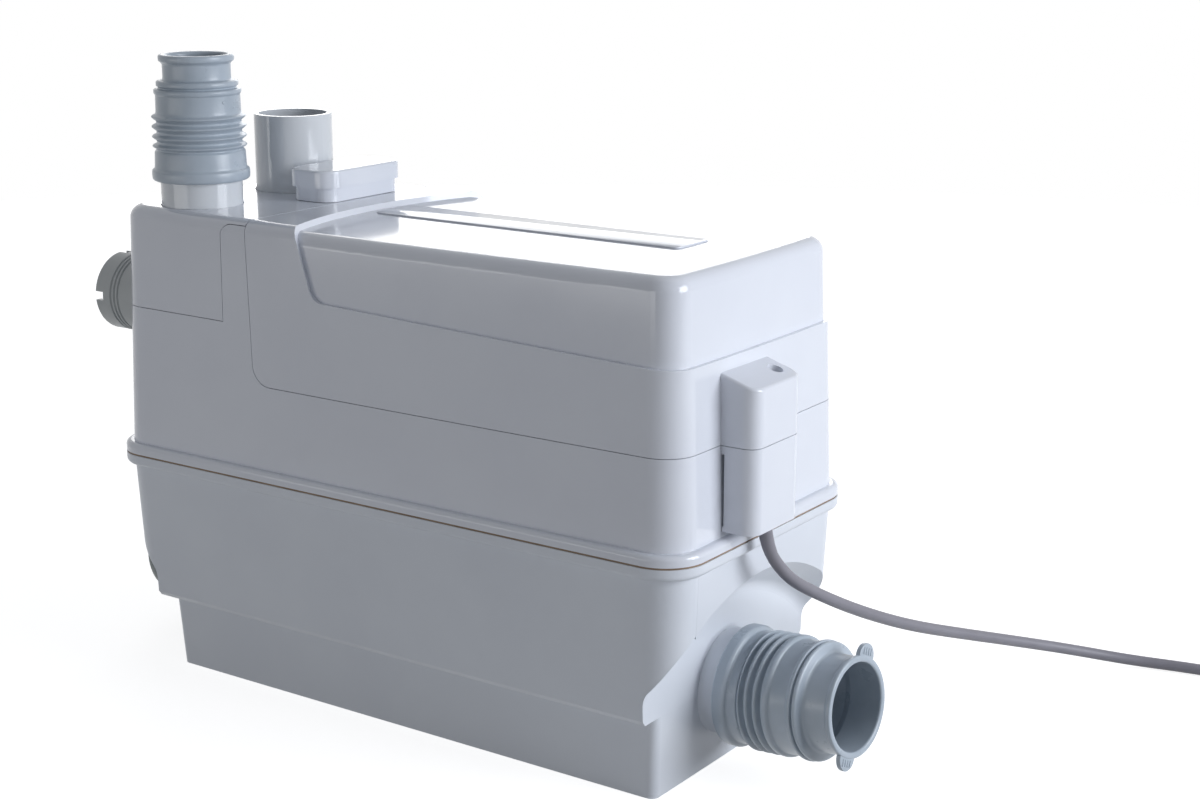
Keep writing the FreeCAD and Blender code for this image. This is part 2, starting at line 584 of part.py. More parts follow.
def level_edges(level):
    """Edges that lie flat at the given height."""
    height = float(level)
    return lambda edge: abs(edge.BoundBox.ZMin - height) < 0.02 and abs(edge.BoundBox.ZMax - height) < 0.02


def boolean(kind, label, base, *tools):
    """Part::Cut, Part::Common or Part::MultiFuse of finished solids."""
    if kind == "MultiFuse":
        result = doc.addObject("Part::MultiFuse", label)
        result.Shapes = [base, *tools]
    elif len(tools) == 1:
        result = doc.addObject(f"Part::{kind}", label)
        result.Base = base
        result.Tool = tools[0]
    else:
        for i, tool in enumerate(tools[:-1], 1):
            base = boolean(kind, f"{label}_step_{i}", base, tool)
        return boolean(kind, label, base, tools[-1])
    result.Label = label
    doc.recompute()
    return result


def keep(thing):
    """Mark a finished piece for writing."""
    kept.append(thing)
    return thing


half_wall_x = flange_length / 2 - flange_lip
half_wall_y = flange_width / 2 - flange_lip
upper_low = seam_level + seal_thickness / 2
tank_high = seam_level - seal_thickness / 2
deck_top = upper_low + deck_thickness
recess_face = right_end - foot_end_inset
foot_half_width = back_side - foot_side_inset
pin_level = inlet_level + inlet_bore + 7
flap_seat = recess_face - shell_wall - foot_draft
flap_pin_across = flap_seat - flap_gap - flap_thickness / 2 - pin_clear
flap_ear_inner = as_size(7)
flap_ear_outer = as_size(10)
clamp_places = (("near", cord_aside - clamp_screw_spread), ("far", cord_aside + clamp_screw_spread))
vent_rim = vent_corner - well_corner


def wall_plan(body, name, level, inset):
    """The upper walls' outline at a height, moved inwards by inset."""
    sketch = new_sketch(body, name, "XY_Plane", level)
    share = (level - upper_low) / (top_level - upper_low)
    bowed_plan(
        sketch,
        half_wall_x - top_inset * share - inset,
        half_wall_y - top_inset * share - inset,
        wall_corner - (wall_corner - top_corner) * share - inset,
        seam_bow + (top_bow_end - seam_bow) * share,
        seam_bow + (top_bow_side - seam_bow) * share,
    )
    return sketch


def wall_form(label, low, high, inset, rounding=None):
    """The upper housing's drafted and bowed form between two heights, with a rounded top edge."""
    body = new_body(label)
    crown = high if rounding is None else high - rounding
    sections = [wall_plan(body, f"{label}_low", low, inset), wall_plan(body, f"{label}_high", crown, inset)]
    loft(body, sections, f"{label}_walls")
    if rounding is None:
        return body
    steps = 4
    rounds = [sections[1]]
    for i in range(1, steps + 1):
        turn = math.pi / 2 * i / steps
        level = high - rounding * (1 - math.sin(turn))
        rounds.append(wall_plan(body, f"{label}_round_{i}", level, inset + rounding * (1 - math.cos(turn))))
    feature = loft(body, rounds, f"{label}_rounding")
    feature.Ruled = False
    doc.recompute()
    return body


def flange_bead(label, low, height, round_low):
    """One flange bead: a straight-sided rounded plate whose outer edge away from the seal is soft."""
    body = new_body(label)
    sketch = new_sketch(body, f"{label}_plan", "XY_Plane", low)
    rounded_rectangle(sketch, 0, 0, flange_length / 2, flange_width / 2, flange_corner)
    pad(body, sketch, height, f"{label}_plate")
    soft = low if round_low else low + height
    round_edges(body, bead_rounding, f"{label}_rounding", level_edges(soft))
    return body


def cylinder(label, across, aside, low, radius, height):
    """A Part cylinder standing at a place, tied to the sheet."""
    thing = doc.addObject("Part::Cylinder", label)
    bind(thing, "Radius", as_size(radius))
    bind(thing, "Height", as_size(height))
    bind(thing, "Placement.Base.x", as_size(across))
    bind(thing, "Placement.Base.y", as_size(aside))
    bind(thing, "Placement.Base.z", as_size(low))
    return thing


def lying_cylinder(label, start, aside, level, radius, length):
    """A Part cylinder along +X from start."""
    thing = cylinder(label, start, aside, level, radius, length)
    thing.Placement.Rotation = FreeCAD.Rotation(V(0, 1, 0), 90)
    return thing


def cross_cylinder(label, across, start, level, radius, length):
    """A Part cylinder along +Y from start."""
    thing = cylinder(label, across, start, level, radius, length)
    thing.Placement.Rotation = FreeCAD.Rotation(V(1, 0, 0), -90)
    return thing


def block(label, x_low, x_high, y_low, y_high, z_low, z_high):
    """A Part box between two corners, tied to the sheet."""
    thing = doc.addObject("Part::Box", label)
    corners = ((x_low, x_high, "Length", "x"), (y_low, y_high, "Width", "y"), (z_low, z_high, "Height", "z"))
    for low, high, side, axis in corners:
        bind(thing, side, as_size(high) - as_size(low))
        bind(thing, f"Placement.Base.{axis}", as_size(low))
    return thing


def turned(label, corners, across=0, aside=0, level=0, axis="V_Axis"):
    """A piece of revolution from its half section: (radius, height) upright or (along, radius) along X."""
    body = new_body(label)
    sketch = new_sketch(body, f"{label}_section", "XZ_Plane")
    lines(sketch, corners)
    revolve(body, sketch, axis, f"{label}_turn")
    bind(body, "Placement.Base.x", as_size(across))
    bind(body, "Placement.Base.y", as_size(aside))
    bind(body, "Placement.Base.z", as_size(level))
    doc.recompute()
    return body


def side_prism(label, corners, rounded=None, radius=None):
    """A prism across the whole width from an outline in the long side's view."""
    body = new_body(label)
    sketch = new_sketch(body, f"{label}_outline", "XZ_Plane")
    lines(sketch, corners)
    feature = pad(body, sketch, flange_width * 1.5, f"{label}_prism")
    feature.Midplane = True
    doc.recompute()
    if rounded is not None:
        spot_x, spot_z = rounded

        def at_corner(edge):
            box = edge.BoundBox
            upright = box.YLength > flange_width.value / 2
            return upright and abs(box.XMin - spot_x.value) < 0.02 and abs(box.ZMin - spot_z.value) < 0.02

        round_edges(body, radius, f"{label}_corner", at_corner)
    return body


def ring(label, across, aside, low, outer, inner, height):
    """A plain ring standing at a place."""
    return turned(label, [(inner, 0), (outer, 0), (outer, height), (inner, height)], across, aside, low)


def ring_of_holes(label, radius, circle_radius, count, across, aside, low, height):
    """Drill holes on a circle, as one cutting body."""
    return screw_circle(label, [(0, 0), (radius, 0), (radius, height), (0, height)],
                        circle_radius, count, across, aside, low)


def origin_axis(body, role):
    for feature in body.Origin.OriginFeatures:
        if feature.Role == role:
            return feature
    raise ValueError(role)


def repeat_round(body, feature, count, name):
    """Repeat a feature evenly round the body's own Z axis."""
    pattern = body.newObject("PartDesign::PolarPattern", name)
    pattern.Originals = [feature]
    pattern.Axis = (origin_axis(body, "Z_Axis"), [""])
    pattern.Angle = 360
    bind(pattern, "Occurrences", count)
    body.Tip = pattern
    doc.recompute()
    return pattern


def screw_circle(label, corners, circle_radius, count, across, aside, low):
    """Equal turned pieces on a circle: separate solids of one group."""
    body = new_body(label)
    body.AllowCompound = True
    sketch = new_sketch(body, f"{label}_section", "XZ_Plane")
    bind(sketch, "AttachmentOffset.Base.x", circle_radius)
    lines(sketch, corners)
    feature = revolve(body, sketch, "V_Axis", f"{label}_turn")
    repeat_round(body, feature, count, f"{label}_round")
    bind(body, "Placement.Base.x", as_size(across))
    bind(body, "Placement.Base.y", as_size(aside))
    bind(body, "Placement.Base.z", as_size(low))
    doc.recompute()
    return body


# Tank: drafted walls, flange, hollow foot, a wide conical recess at each end and the inlet spigots
def tank_plan(body, name, level, inset):
    sketch = new_sketch(body, name, "XY_Plane", level)
    share = (tank_high - level) / (tank_high - ledge_level)
    bowed_plan(
        sketch,
        half_wall_x - tank_inset * share - inset,
        half_wall_y - tank_inset * share - inset,
        wall_corner - (wall_corner - ledge_corner) * share - inset,
        seam_bow,
        seam_bow,
    )
    return sketch


def foot_plan(body, name, level, inset):
    sketch = new_sketch(body, name, "XY_Plane", level)
    lean = foot_draft * (ledge_level - level) / ledge_level + inset
    corner = foot_corner - inset / 2
    rounded_rectangle(sketch, 0, 0, recess_face - lean, foot_half_width - lean, corner)
    return sketch


def end_recess(label, side, wall):
    """The cone that scoops out one end, grown by wall for the inside."""
    reach = as_size(60)
    flare = recess_flare / (half_wall_x - recess_face)
    depth = recess_face - wall
    radius = recess_radius + wall - recess_flare * wall / (half_wall_x - recess_face)
    corners = [(depth, 0), (depth + reach, 0), (depth + reach, radius + flare * reach), (depth, radius)]
    if side < 0:
        corners = [(-x, y) for x, y in corners]
    body = turned(label, corners, level=recess_axis_level, axis="H_Axis")
    face = float(depth) * side

    def inner_rim(edge):
        box = edge.BoundBox
        return box.XLength < 0.01 and abs(box.XMin - face) < 0.02 and box.YLength > 10

    round_edges(body, recess_blend, f"{label}_blend", inner_rim)
    return body


def make_tank():
    walls = new_body("tank_walls")
    ledge_crown = ledge_level + ledge_rounding
    flush = as_size(0)
    lower = tank_plan(walls, "tank_low", ledge_crown, flush)
    sections = [lower, tank_plan(walls, "tank_high", tank_high, flush)]
    loft(walls, sections, "tank_wall_loft")
    rim = [sections[0], tank_plan(walls, "tank_rim", ledge_level, ledge_rounding * 0.7)]
    loft(walls, rim, "tank_rim_loft")
    bead = flange_bead("tank_bead", tank_high - lower_bead, lower_bead, True)
    foot = new_body("tank_foot")
    loft(foot, [foot_plan(foot, "foot_low", as_size(0), as_size(0)),
                foot_plan(foot, "foot_high", ledge_level, as_size(0))], "foot_loft")
    recesses = [end_recess("right_recess", 1, as_size(0)), end_recess("left_recess", -1, as_size(0))]
    scooped = boolean("Cut", "tank_scooped", walls, *recesses)
    spigots = []
    for name, start in (("right", recess_face - shell_wall), ("left", -recess_face - inlet_spigot_length)):
        length = inlet_spigot_length + shell_wall
        spigots.append(lying_cylinder(f"{name}_spigot", start, 0, inlet_level, inlet_spigot_radius, length))
    outside = boolean("MultiFuse", "tank_outside", scooped, bead, foot, *spigots)

    hollow = new_body("tank_hollow")
    inner_ledge = ledge_level + shell_wall
    loft(hollow, [tank_plan(hollow, "hollow_low", inner_ledge, shell_wall),
                  tank_plan(hollow, "hollow_high", tank_high, shell_wall)], "hollow_loft")
    inner_recesses = []
    for name, side in (("right", 1), ("left", -1)):
        inner_recesses.append(end_recess(f"{name}_recess_inside", side, shell_wall))
    upper_hollow = boolean("Cut", "tank_upper_hollow", hollow, *inner_recesses)
    sump = new_body("sump_hollow")
    loft(sump, [foot_plan(sump, "sump_low", foot_wall, foot_wall),
                foot_plan(sump, "sump_high", inner_ledge + 1, foot_wall)], "sump_loft")
    bores = []
    for name, side in (("right", 1), ("left", -1)):
        length = inlet_spigot_length + shell_wall * 4
        start = recess_face - shell_wall * 3 if side > 0 else -recess_face - inlet_spigot_length - shell_wall
        bores.append(lying_cylinder(f"{name}_inlet_bore", start, 0, inlet_level, inlet_bore, length))
    inside = boolean("MultiFuse", "tank_inside", upper_hollow, sump, *bores)
    shell = boolean("Cut", "tank_shell", outside, inside)

    # ears for the inlet flaps' pins, on the inner face above each inlet
    ears, holes = [], []
    for name, side in (("right", 1), ("left", -1)):
        wall = recess_face - shell_wall
        near, far = wall - 2 * knuckle_radius - 1.5, wall + 1
        if side < 0:
            near, far = -far, -near
        for place, y_low in (("front", -flap_ear_outer), ("back", flap_ear_inner)):
            y_high = y_low + (flap_ear_outer - flap_ear_inner)
            ears.append(block(f"{name}_{place}_ear", near, far, y_low, y_high, pin_level - ear_below,
                              pin_level + ear_above))
        pin_x = flap_pin_across * side
        reach = flap_ear_outer + 1
        holes.append(cross_cylinder(f"{name}_ear_hole", pin_x, -reach, pin_level, pin_radius, reach * 2))
    for name, side in (("right", 1), ("left", -1)):
        start = flap_seat if side > 0 else -recess_face + foot_wall / 2
        deep = recess_face - foot_wall / 2 - flap_seat
        seat = turned(f"{name}_flap_seat", [
            (0, inlet_bore), (0, inlet_spigot_radius), (deep, inlet_spigot_radius), (deep, inlet_bore),
        ], start, 0, inlet_level, "H_Axis")
        ears.append(seat)
    tank = boolean("MultiFuse", "tank_with_ears", shell, *ears)
    return keep(boolean("Cut", "tank", tank, *holes))


# Upper housing, covers, seal and end box
def hood_region(label, grow):
    """Everything right of the hood's curved left edge and above its lower line, grown outwards by grow."""
    body = new_body(label)
    reach = as_size(12)
    half = flange_width / 2 + reach * 2
    bow = hood_left_top - hood_left_mid
    chord = half_wall_y - hood_depth
    radius = (chord * chord + bow * bow) / (2 * bow)
    lean = (hood_left_low - hood_left_top) / (top_level - hood_line_left)
    right = half_wall_x + reach * 4
    sections = []
    for name, level in ((f"{label}_low", hood_line_right - reach), (f"{label}_high", top_level + reach)):
        sketch = new_sketch(body, name, "XY_Plane", level)
        left = hood_left_mid - grow + lean * (top_level - level)
        centre = left + radius
        spread = math.asin(half.value / radius.value)
        ring = Part.Circle(V(centre.value, 0, 0), V(0, 0, 1), radius.value)
        arc = sketch.addGeometry(Part.ArcOfCircle(ring, math.pi - spread, math.pi + spread), False)
        edge_x = centre.value - radius.value * math.cos(spread)
        corners = (V(edge_x, -half.value, 0), V(right.value, -half.value, 0), V(right.value, half.value, 0))
        sides = []
        for start, end in zip(corners, (*corners[1:], V(edge_x, half.value, 0))):
            sides.append(sketch.addGeometry(Part.LineSegment(start, end), False))
        chain = [arc, *sides]
        for i in range(4):
            sketch.addConstraint(Sketcher.Constraint("Coincident", chain[i], 2, chain[(i + 1) % 4], 1))
        hold(sketch, "Radius", radius, arc)
        hold_point(sketch, arc, 3, centre, 0)
        hold(sketch, "DistanceY", half, -1, 1, arc, 1)
        hold_point(sketch, sides[0], 2, right, -half)
        hold_point(sketch, sides[1], 2, right, half)
        sketch.addConstraint(Sketcher.Constraint("Horizontal", sides[0]))
        sections.append(sketch)
    loft(body, sections, f"{label}_edge")
    fall = (hood_line_left - hood_line_right) / (half_wall_x - hood_left_low)
    far_left, far_right = hood_left_low - reach * 6, half_wall_x + reach * 5
    below = new_sketch(body, f"{label}_line", "XZ_Plane")
    lines(below, [
        (far_left, hood_line_right - reach * 2),
        (far_right, hood_line_right - reach * 2),
        (far_right, hood_line_right - grow - fall * reach * 5),
        (far_left, hood_line_left - grow + fall * reach * 6),
    ])
    pocket(body, below, half * 3, f"{label}_below", both_ways=True)

    def lower_left(edge):
        box = edge.BoundBox
        return box.YLength > 150 and box.XMax < 20 and box.ZMax < top_level.value - 10

    round_edges(body, hood_corner + grow, f"{label}_corner", lower_left)
    return body


def cover_region(label, grow):
    """The side outline that the access cover is cut to."""
    reach = as_size(12)
    lean = (cover_left_low - cover_left_top) / (top_level - cover_level)
    low, high = cover_level - grow, top_level + reach
    corner = (cover_left_low - grow + lean * grow, low)
    right = box_front + reach
    corners = [corner, (right, low), (right, high), (cover_left_top - grow - lean * reach, high)]
    return side_prism(label, corners, corner, cover_corner + grow)


def patch_region(label, grow):
    """The side outline of the discharge cover: low at the left and over the whole left part of the top."""
    reach = as_size(12)
    low, high = patch_level - grow, top_level + reach
    turn = (patch_right + grow, top_level - patch_top_wall - grow)
    left = -(half_wall_x + reach * 2)
    lean = (cover_left_low - cover_left_top) / (top_level - cover_level)
    edge = cover_left_top - 2 * cover_gap + grow * 2
    corners = [(left, low), (patch_right + grow, low), turn, (edge + lean * (top_level - turn[1]), turn[1]),
               (edge - lean * reach, high), (left, high)]
    return side_prism(label, corners, turn, patch_corner - grow)


def box_form(label, inset, low, high_less):
    """The end box's outer or inner form from a level up to its sloping top."""
    body = new_body(label)
    sketch = new_sketch(body, f"{label}_plan", "XY_Plane", low)
    half_x = (box_front - box_root) / 2
    middle = box_root + half_x
    rounded_rectangle(sketch, middle, box_middle, half_x - inset / 2, box_width / 2 - inset, box_corner - inset)
    bind(sketch, "AttachmentOffset.Base.x", -inset / 2)
    pad(body, sketch, box_top + box_slope - low, f"{label}_block")
    above = new_sketch(body, f"{label}_slope", "XZ_Plane")
    fall = box_slope / (box_front - half_wall_x + top_inset)
    run = box_front - half_wall_x + top_inset
    wide = as_size(30)
    lines(above, [
        (box_front + wide, box_top - box_slope - high_less - fall * wide),
        (box_front + wide, box_top + box_slope * 3),
        (box_front - run - wide, box_top + box_slope * 3),
        (box_front - run - wide, box_top - high_less + fall * wide),
    ])
    pocket(body, above, flange_width * 2, f"{label}_above", both_ways=True)
    return body


def round_box_top(body):
    """Soften the sloping top's edges beyond the end wall."""
    crest = float(box_top - box_slope) - 1

    def on_top(edge):
        box = edge.BoundBox
        return box.ZMin > crest and box.XMax > float(right_end)

    round_edges(body, box_edge, "end_box_top_edges", on_top)


def make_shells():
    outer = wall_form("upper_outer", upper_low, top_level, as_size(0), top_rounding)
    hood = wall_form("hood_form", upper_low, top_level - hood_top_drop, hood_depth, top_rounding)
    hollow = wall_form("upper_hollow", deck_top, top_level - shell_wall, shell_wall, top_rounding - shell_wall)
    hood_hollow = wall_form("hood_hollow", deck_top, top_level - hood_top_drop - shell_wall,
                            hood_depth + shell_wall, top_rounding - shell_wall)
    step = boolean("Cut", "hood_step", hood_region("hood_outline", as_size(0)), hood)
    inner_step = boolean("Cut", "hood_inner_step", hood_region("hood_inner_outline", shell_wall), hood_hollow)
    skin = boolean("Cut", "upper_skin", outer, step)
    cavity = boolean("Cut", "upper_cavity", hollow, inner_step)
    shell = boolean("Cut", "upper_shell", skin, cavity)

    box_top_edge = box_form("end_box_form", as_size(0), box_low, as_size(0))
    round_box_top(box_top_edge)
    box_inner = box_form("end_box_hollow", box_wall, box_low + box_wall, box_wall)

    # access cover with the upper half of the end box, its screw well and the plain frame on the hood
    cover_cut = cover_region("cover_outline", as_size(0))
    box_above = block("box_above_line", box_root, box_front + 1, box_middle - box_width, box_middle + box_width,
                      cover_level, box_top + box_slope)
    box_upper = boolean("Common", "end_box_upper", box_top_edge, box_above)
    box_outside = boolean("Cut", "end_box_outside", box_upper, cavity)
    panel = boolean("Common", "cover_panel", shell, cover_cut)
    with_box = boolean("MultiFuse", "cover_with_box", panel, box_outside)
    hollowed = boolean("Cut", "cover_hollowed", with_box, box_inner)
    well_tube = cylinder("well_tube", screw_across, screw_aside, screw_seat - box_wall,
                         screw_well + box_wall - 0.3, box_top + box_slope - screw_seat)
    well = boolean("Common", "well_under_top", well_tube, box_upper)
    with_well = boolean("MultiFuse", "cover_with_well", hollowed, well)
    bore = cylinder("well_bore", screw_across, screw_aside, screw_seat, screw_well,
                    box_top + box_slope - screw_seat)
    hole = cylinder("well_hole", screw_across, screw_aside, screw_seat - box_wall * 2,
                    screw_shank + screw_fit, box_wall * 4)
    frame = new_body("hood_frame")
    frame_sketch = new_sketch(frame, "hood_frame_plan", "XY_Plane", top_level - hood_top_drop - frame_depth)
    rounded_rectangle(frame_sketch, frame_across, frame_aside, frame_length / 2, frame_width / 2, frame_corner)
    rounded_rectangle(frame_sketch, frame_across, frame_aside, frame_length / 2 - frame_groove,
                      frame_width / 2 - frame_groove, frame_corner - frame_groove)
    pad(frame, frame_sketch, hood_top_drop * 2, "hood_frame_groove")
    keep(boolean("Cut", "access_cover", with_well, bore, hole, frame))

    # discharge cover with its holes for the pipes and the filter tray
    patch = boolean("Common", "discharge_panel", shell, patch_region("patch_outline", as_size(0)))
    spigot_hole = cylinder("spigot_hole", valve_across, valve_aside, patch_level,
                           spigot_radius + hole_clearance, top_level - patch_level + 5)
    stub_hole = cylinder("stub_hole", stub_across, stub_aside, patch_level,
                         spigot_radius + stub_step + hole_clearance, top_level - patch_level + 5)
    port_hole = lying_cylinder("port_hole", port_end, valve_aside, port_level,
                               spigot_radius + hole_clearance, port_inner_end - port_end)
    tray_hole = new_body("tray_hole")
    tray_sketch = new_sketch(tray_hole, "tray_hole_plan", "XY_Plane", top_level - shell_wall * 2)
    rounded_rectangle(tray_sketch, vent_across, vent_aside, well_half_x + hole_clearance,
                      well_half_y + hole_clearance, vent_corner - vent_rim)
    pad(tray_hole, tray_sketch, shell_wall * 4, "tray_hole_prism")
    keep(boolean("Cut", "discharge_cover", patch, spigot_hole, stub_hole, port_hole, tray_hole))

    # upper housing: what the covers leave, with its flange, deck openings and the cover screw's boss
    cover_wide = cover_region("cover_outline_wide", cover_gap)
    patch_wide = patch_region("patch_outline_wide", cover_gap)
    bead = flange_bead("upper_flange", upper_low, upper_bead, False)
    inside_wall = new_body("upper_flange_space")
    space = new_sketch(inside_wall, "upper_flange_space_plan", "XY_Plane", upper_low)
    middle = flange_lip + shell_wall / 2
    rounded_rectangle(space, 0, 0, flange_length / 2 - middle, flange_width / 2 - middle,
                      wall_corner - shell_wall / 2)
    pad(inside_wall, space, upper_bead * 2, "upper_flange_space_prism")
    bead_ring = boolean("Cut", "upper_flange_ring", bead, inside_wall)
    boss_low = clamp_level + clamp_height + boss_clear
    boss = cylinder("screw_boss", screw_across, screw_aside, boss_low, boss_radius,
                    cover_level - cover_gap - boss_low)
    web = block("screw_boss_web", half_wall_x - top_inset, screw_across, screw_aside - boss_web / 2,
                screw_aside + boss_web / 2, boss_low, cover_level - cover_gap)
    web_outside = boolean("Cut", "boss_web_outside", web, outer)
    rest = boolean("Cut", "housing_walls", shell, cover_wide, patch_wide)
    joined = boolean("MultiFuse", "housing_joined", rest, bead_ring, boss, web_outside)
    drill = cylinder("boss_bore", screw_across, screw_aside, screw_end - 2, screw_shank + screw_fit,
                     cover_level - screw_end + 5)
    deck_cuts = [drill]
    low = upper_low - 1
    tall = deck_thickness + 2
    for name, across, aside, radius in (
        ("pump_opening", motor_across, motor_aside, deck_opening),
        ("riser_opening", valve_across, valve_aside, riser_radius + hole_clearance),
        ("inlet_opening", stub_across, stub_aside, spigot_radius + stub_step + hole_clearance / 2),
        ("vent_opening", vent_across, vent_aside, vent_pipe_radius + hole_clearance / 2),
        ("tube_opening", tube_across, tube_aside, tube_radius + hole_clearance / 2),
    ):
        deck_cuts.append(cylinder(name, across, aside, low, radius, tall))
    deck_cuts.append(ring_of_holes("deck_screw_holes", plate_screw_radius + screw_fit, plate_screw_circle,
                                   plate_screw_count, motor_across, motor_aside, plate_screw_end,
                                   deck_top + 1 - plate_screw_end))
    port_notch = lying_cylinder("port_notch", port_end, valve_aside, port_level,
                                spigot_radius + hole_clearance, port_inner_end - port_end)
    keep(boolean("Cut", "upper_housing", joined, *deck_cuts, port_notch))

    # cord cover: lower half of the end box, standing off the end wall
    wall_gap = wall_form("cord_cover_gap", upper_low, top_level, -cord_cover_gap)
    box_below = block("box_below_line", box_root, box_front + 1, box_middle - box_width, box_middle + box_width,
                      box_low, cover_level - cover_gap)
    lower_solid = boolean("Common", "end_box_lower", box_top_edge, box_below)
    cord_hole = cylinder("cord_hole", cord_across, cord_aside, box_low - 1, cord_radius + cord_hole_fit,
                         box_wall + 2)
    slot = block("cord_cover_slot", box_root, half_wall_x + box_slot, box_middle - box_width,
                 box_middle - box_width / 2 + box_wall + 0.5, box_low + 3, cover_level - box_wall * 2)
    clamp_holes = []
    for name, aside in clamp_places:
        clamp_holes.append(lying_cylinder(f"{name}_clamp_hole", box_front - box_wall - 1, aside,
                                          clamp_level + clamp_height / 2, clamp_screw_radius + screw_fit,
                                          box_wall))
    keep(boolean("Cut", "cord_cover", lower_solid, wall_gap, box_inner, cord_hole, slot, *clamp_holes))

    # seam seal between the two flanges
    seal = new_body("seam_seal")
    seal_sketch = new_sketch(seal, "seam_seal_outside", "XY_Plane", tank_high)
    rounded_rectangle(seal_sketch, 0, 0, flange_length / 2 - seal_set_back, flange_width / 2 - seal_set_back,
                      flange_corner - seal_set_back)
    pad(seal, seal_sketch, seal_thickness, "seam_seal_plate")
    inner_edge = seal_set_back + seal_width
    opening = new_sketch(seal, "seam_seal_inside", "XY_Plane", tank_high + seal_thickness)
    rounded_rectangle(opening, 0, 0, flange_length / 2 - inner_edge, flange_width / 2 - inner_edge,
                      flange_corner - inner_edge)
    pocket(seal, opening, seal_thickness, "seam_seal_opening")
    keep(seal)


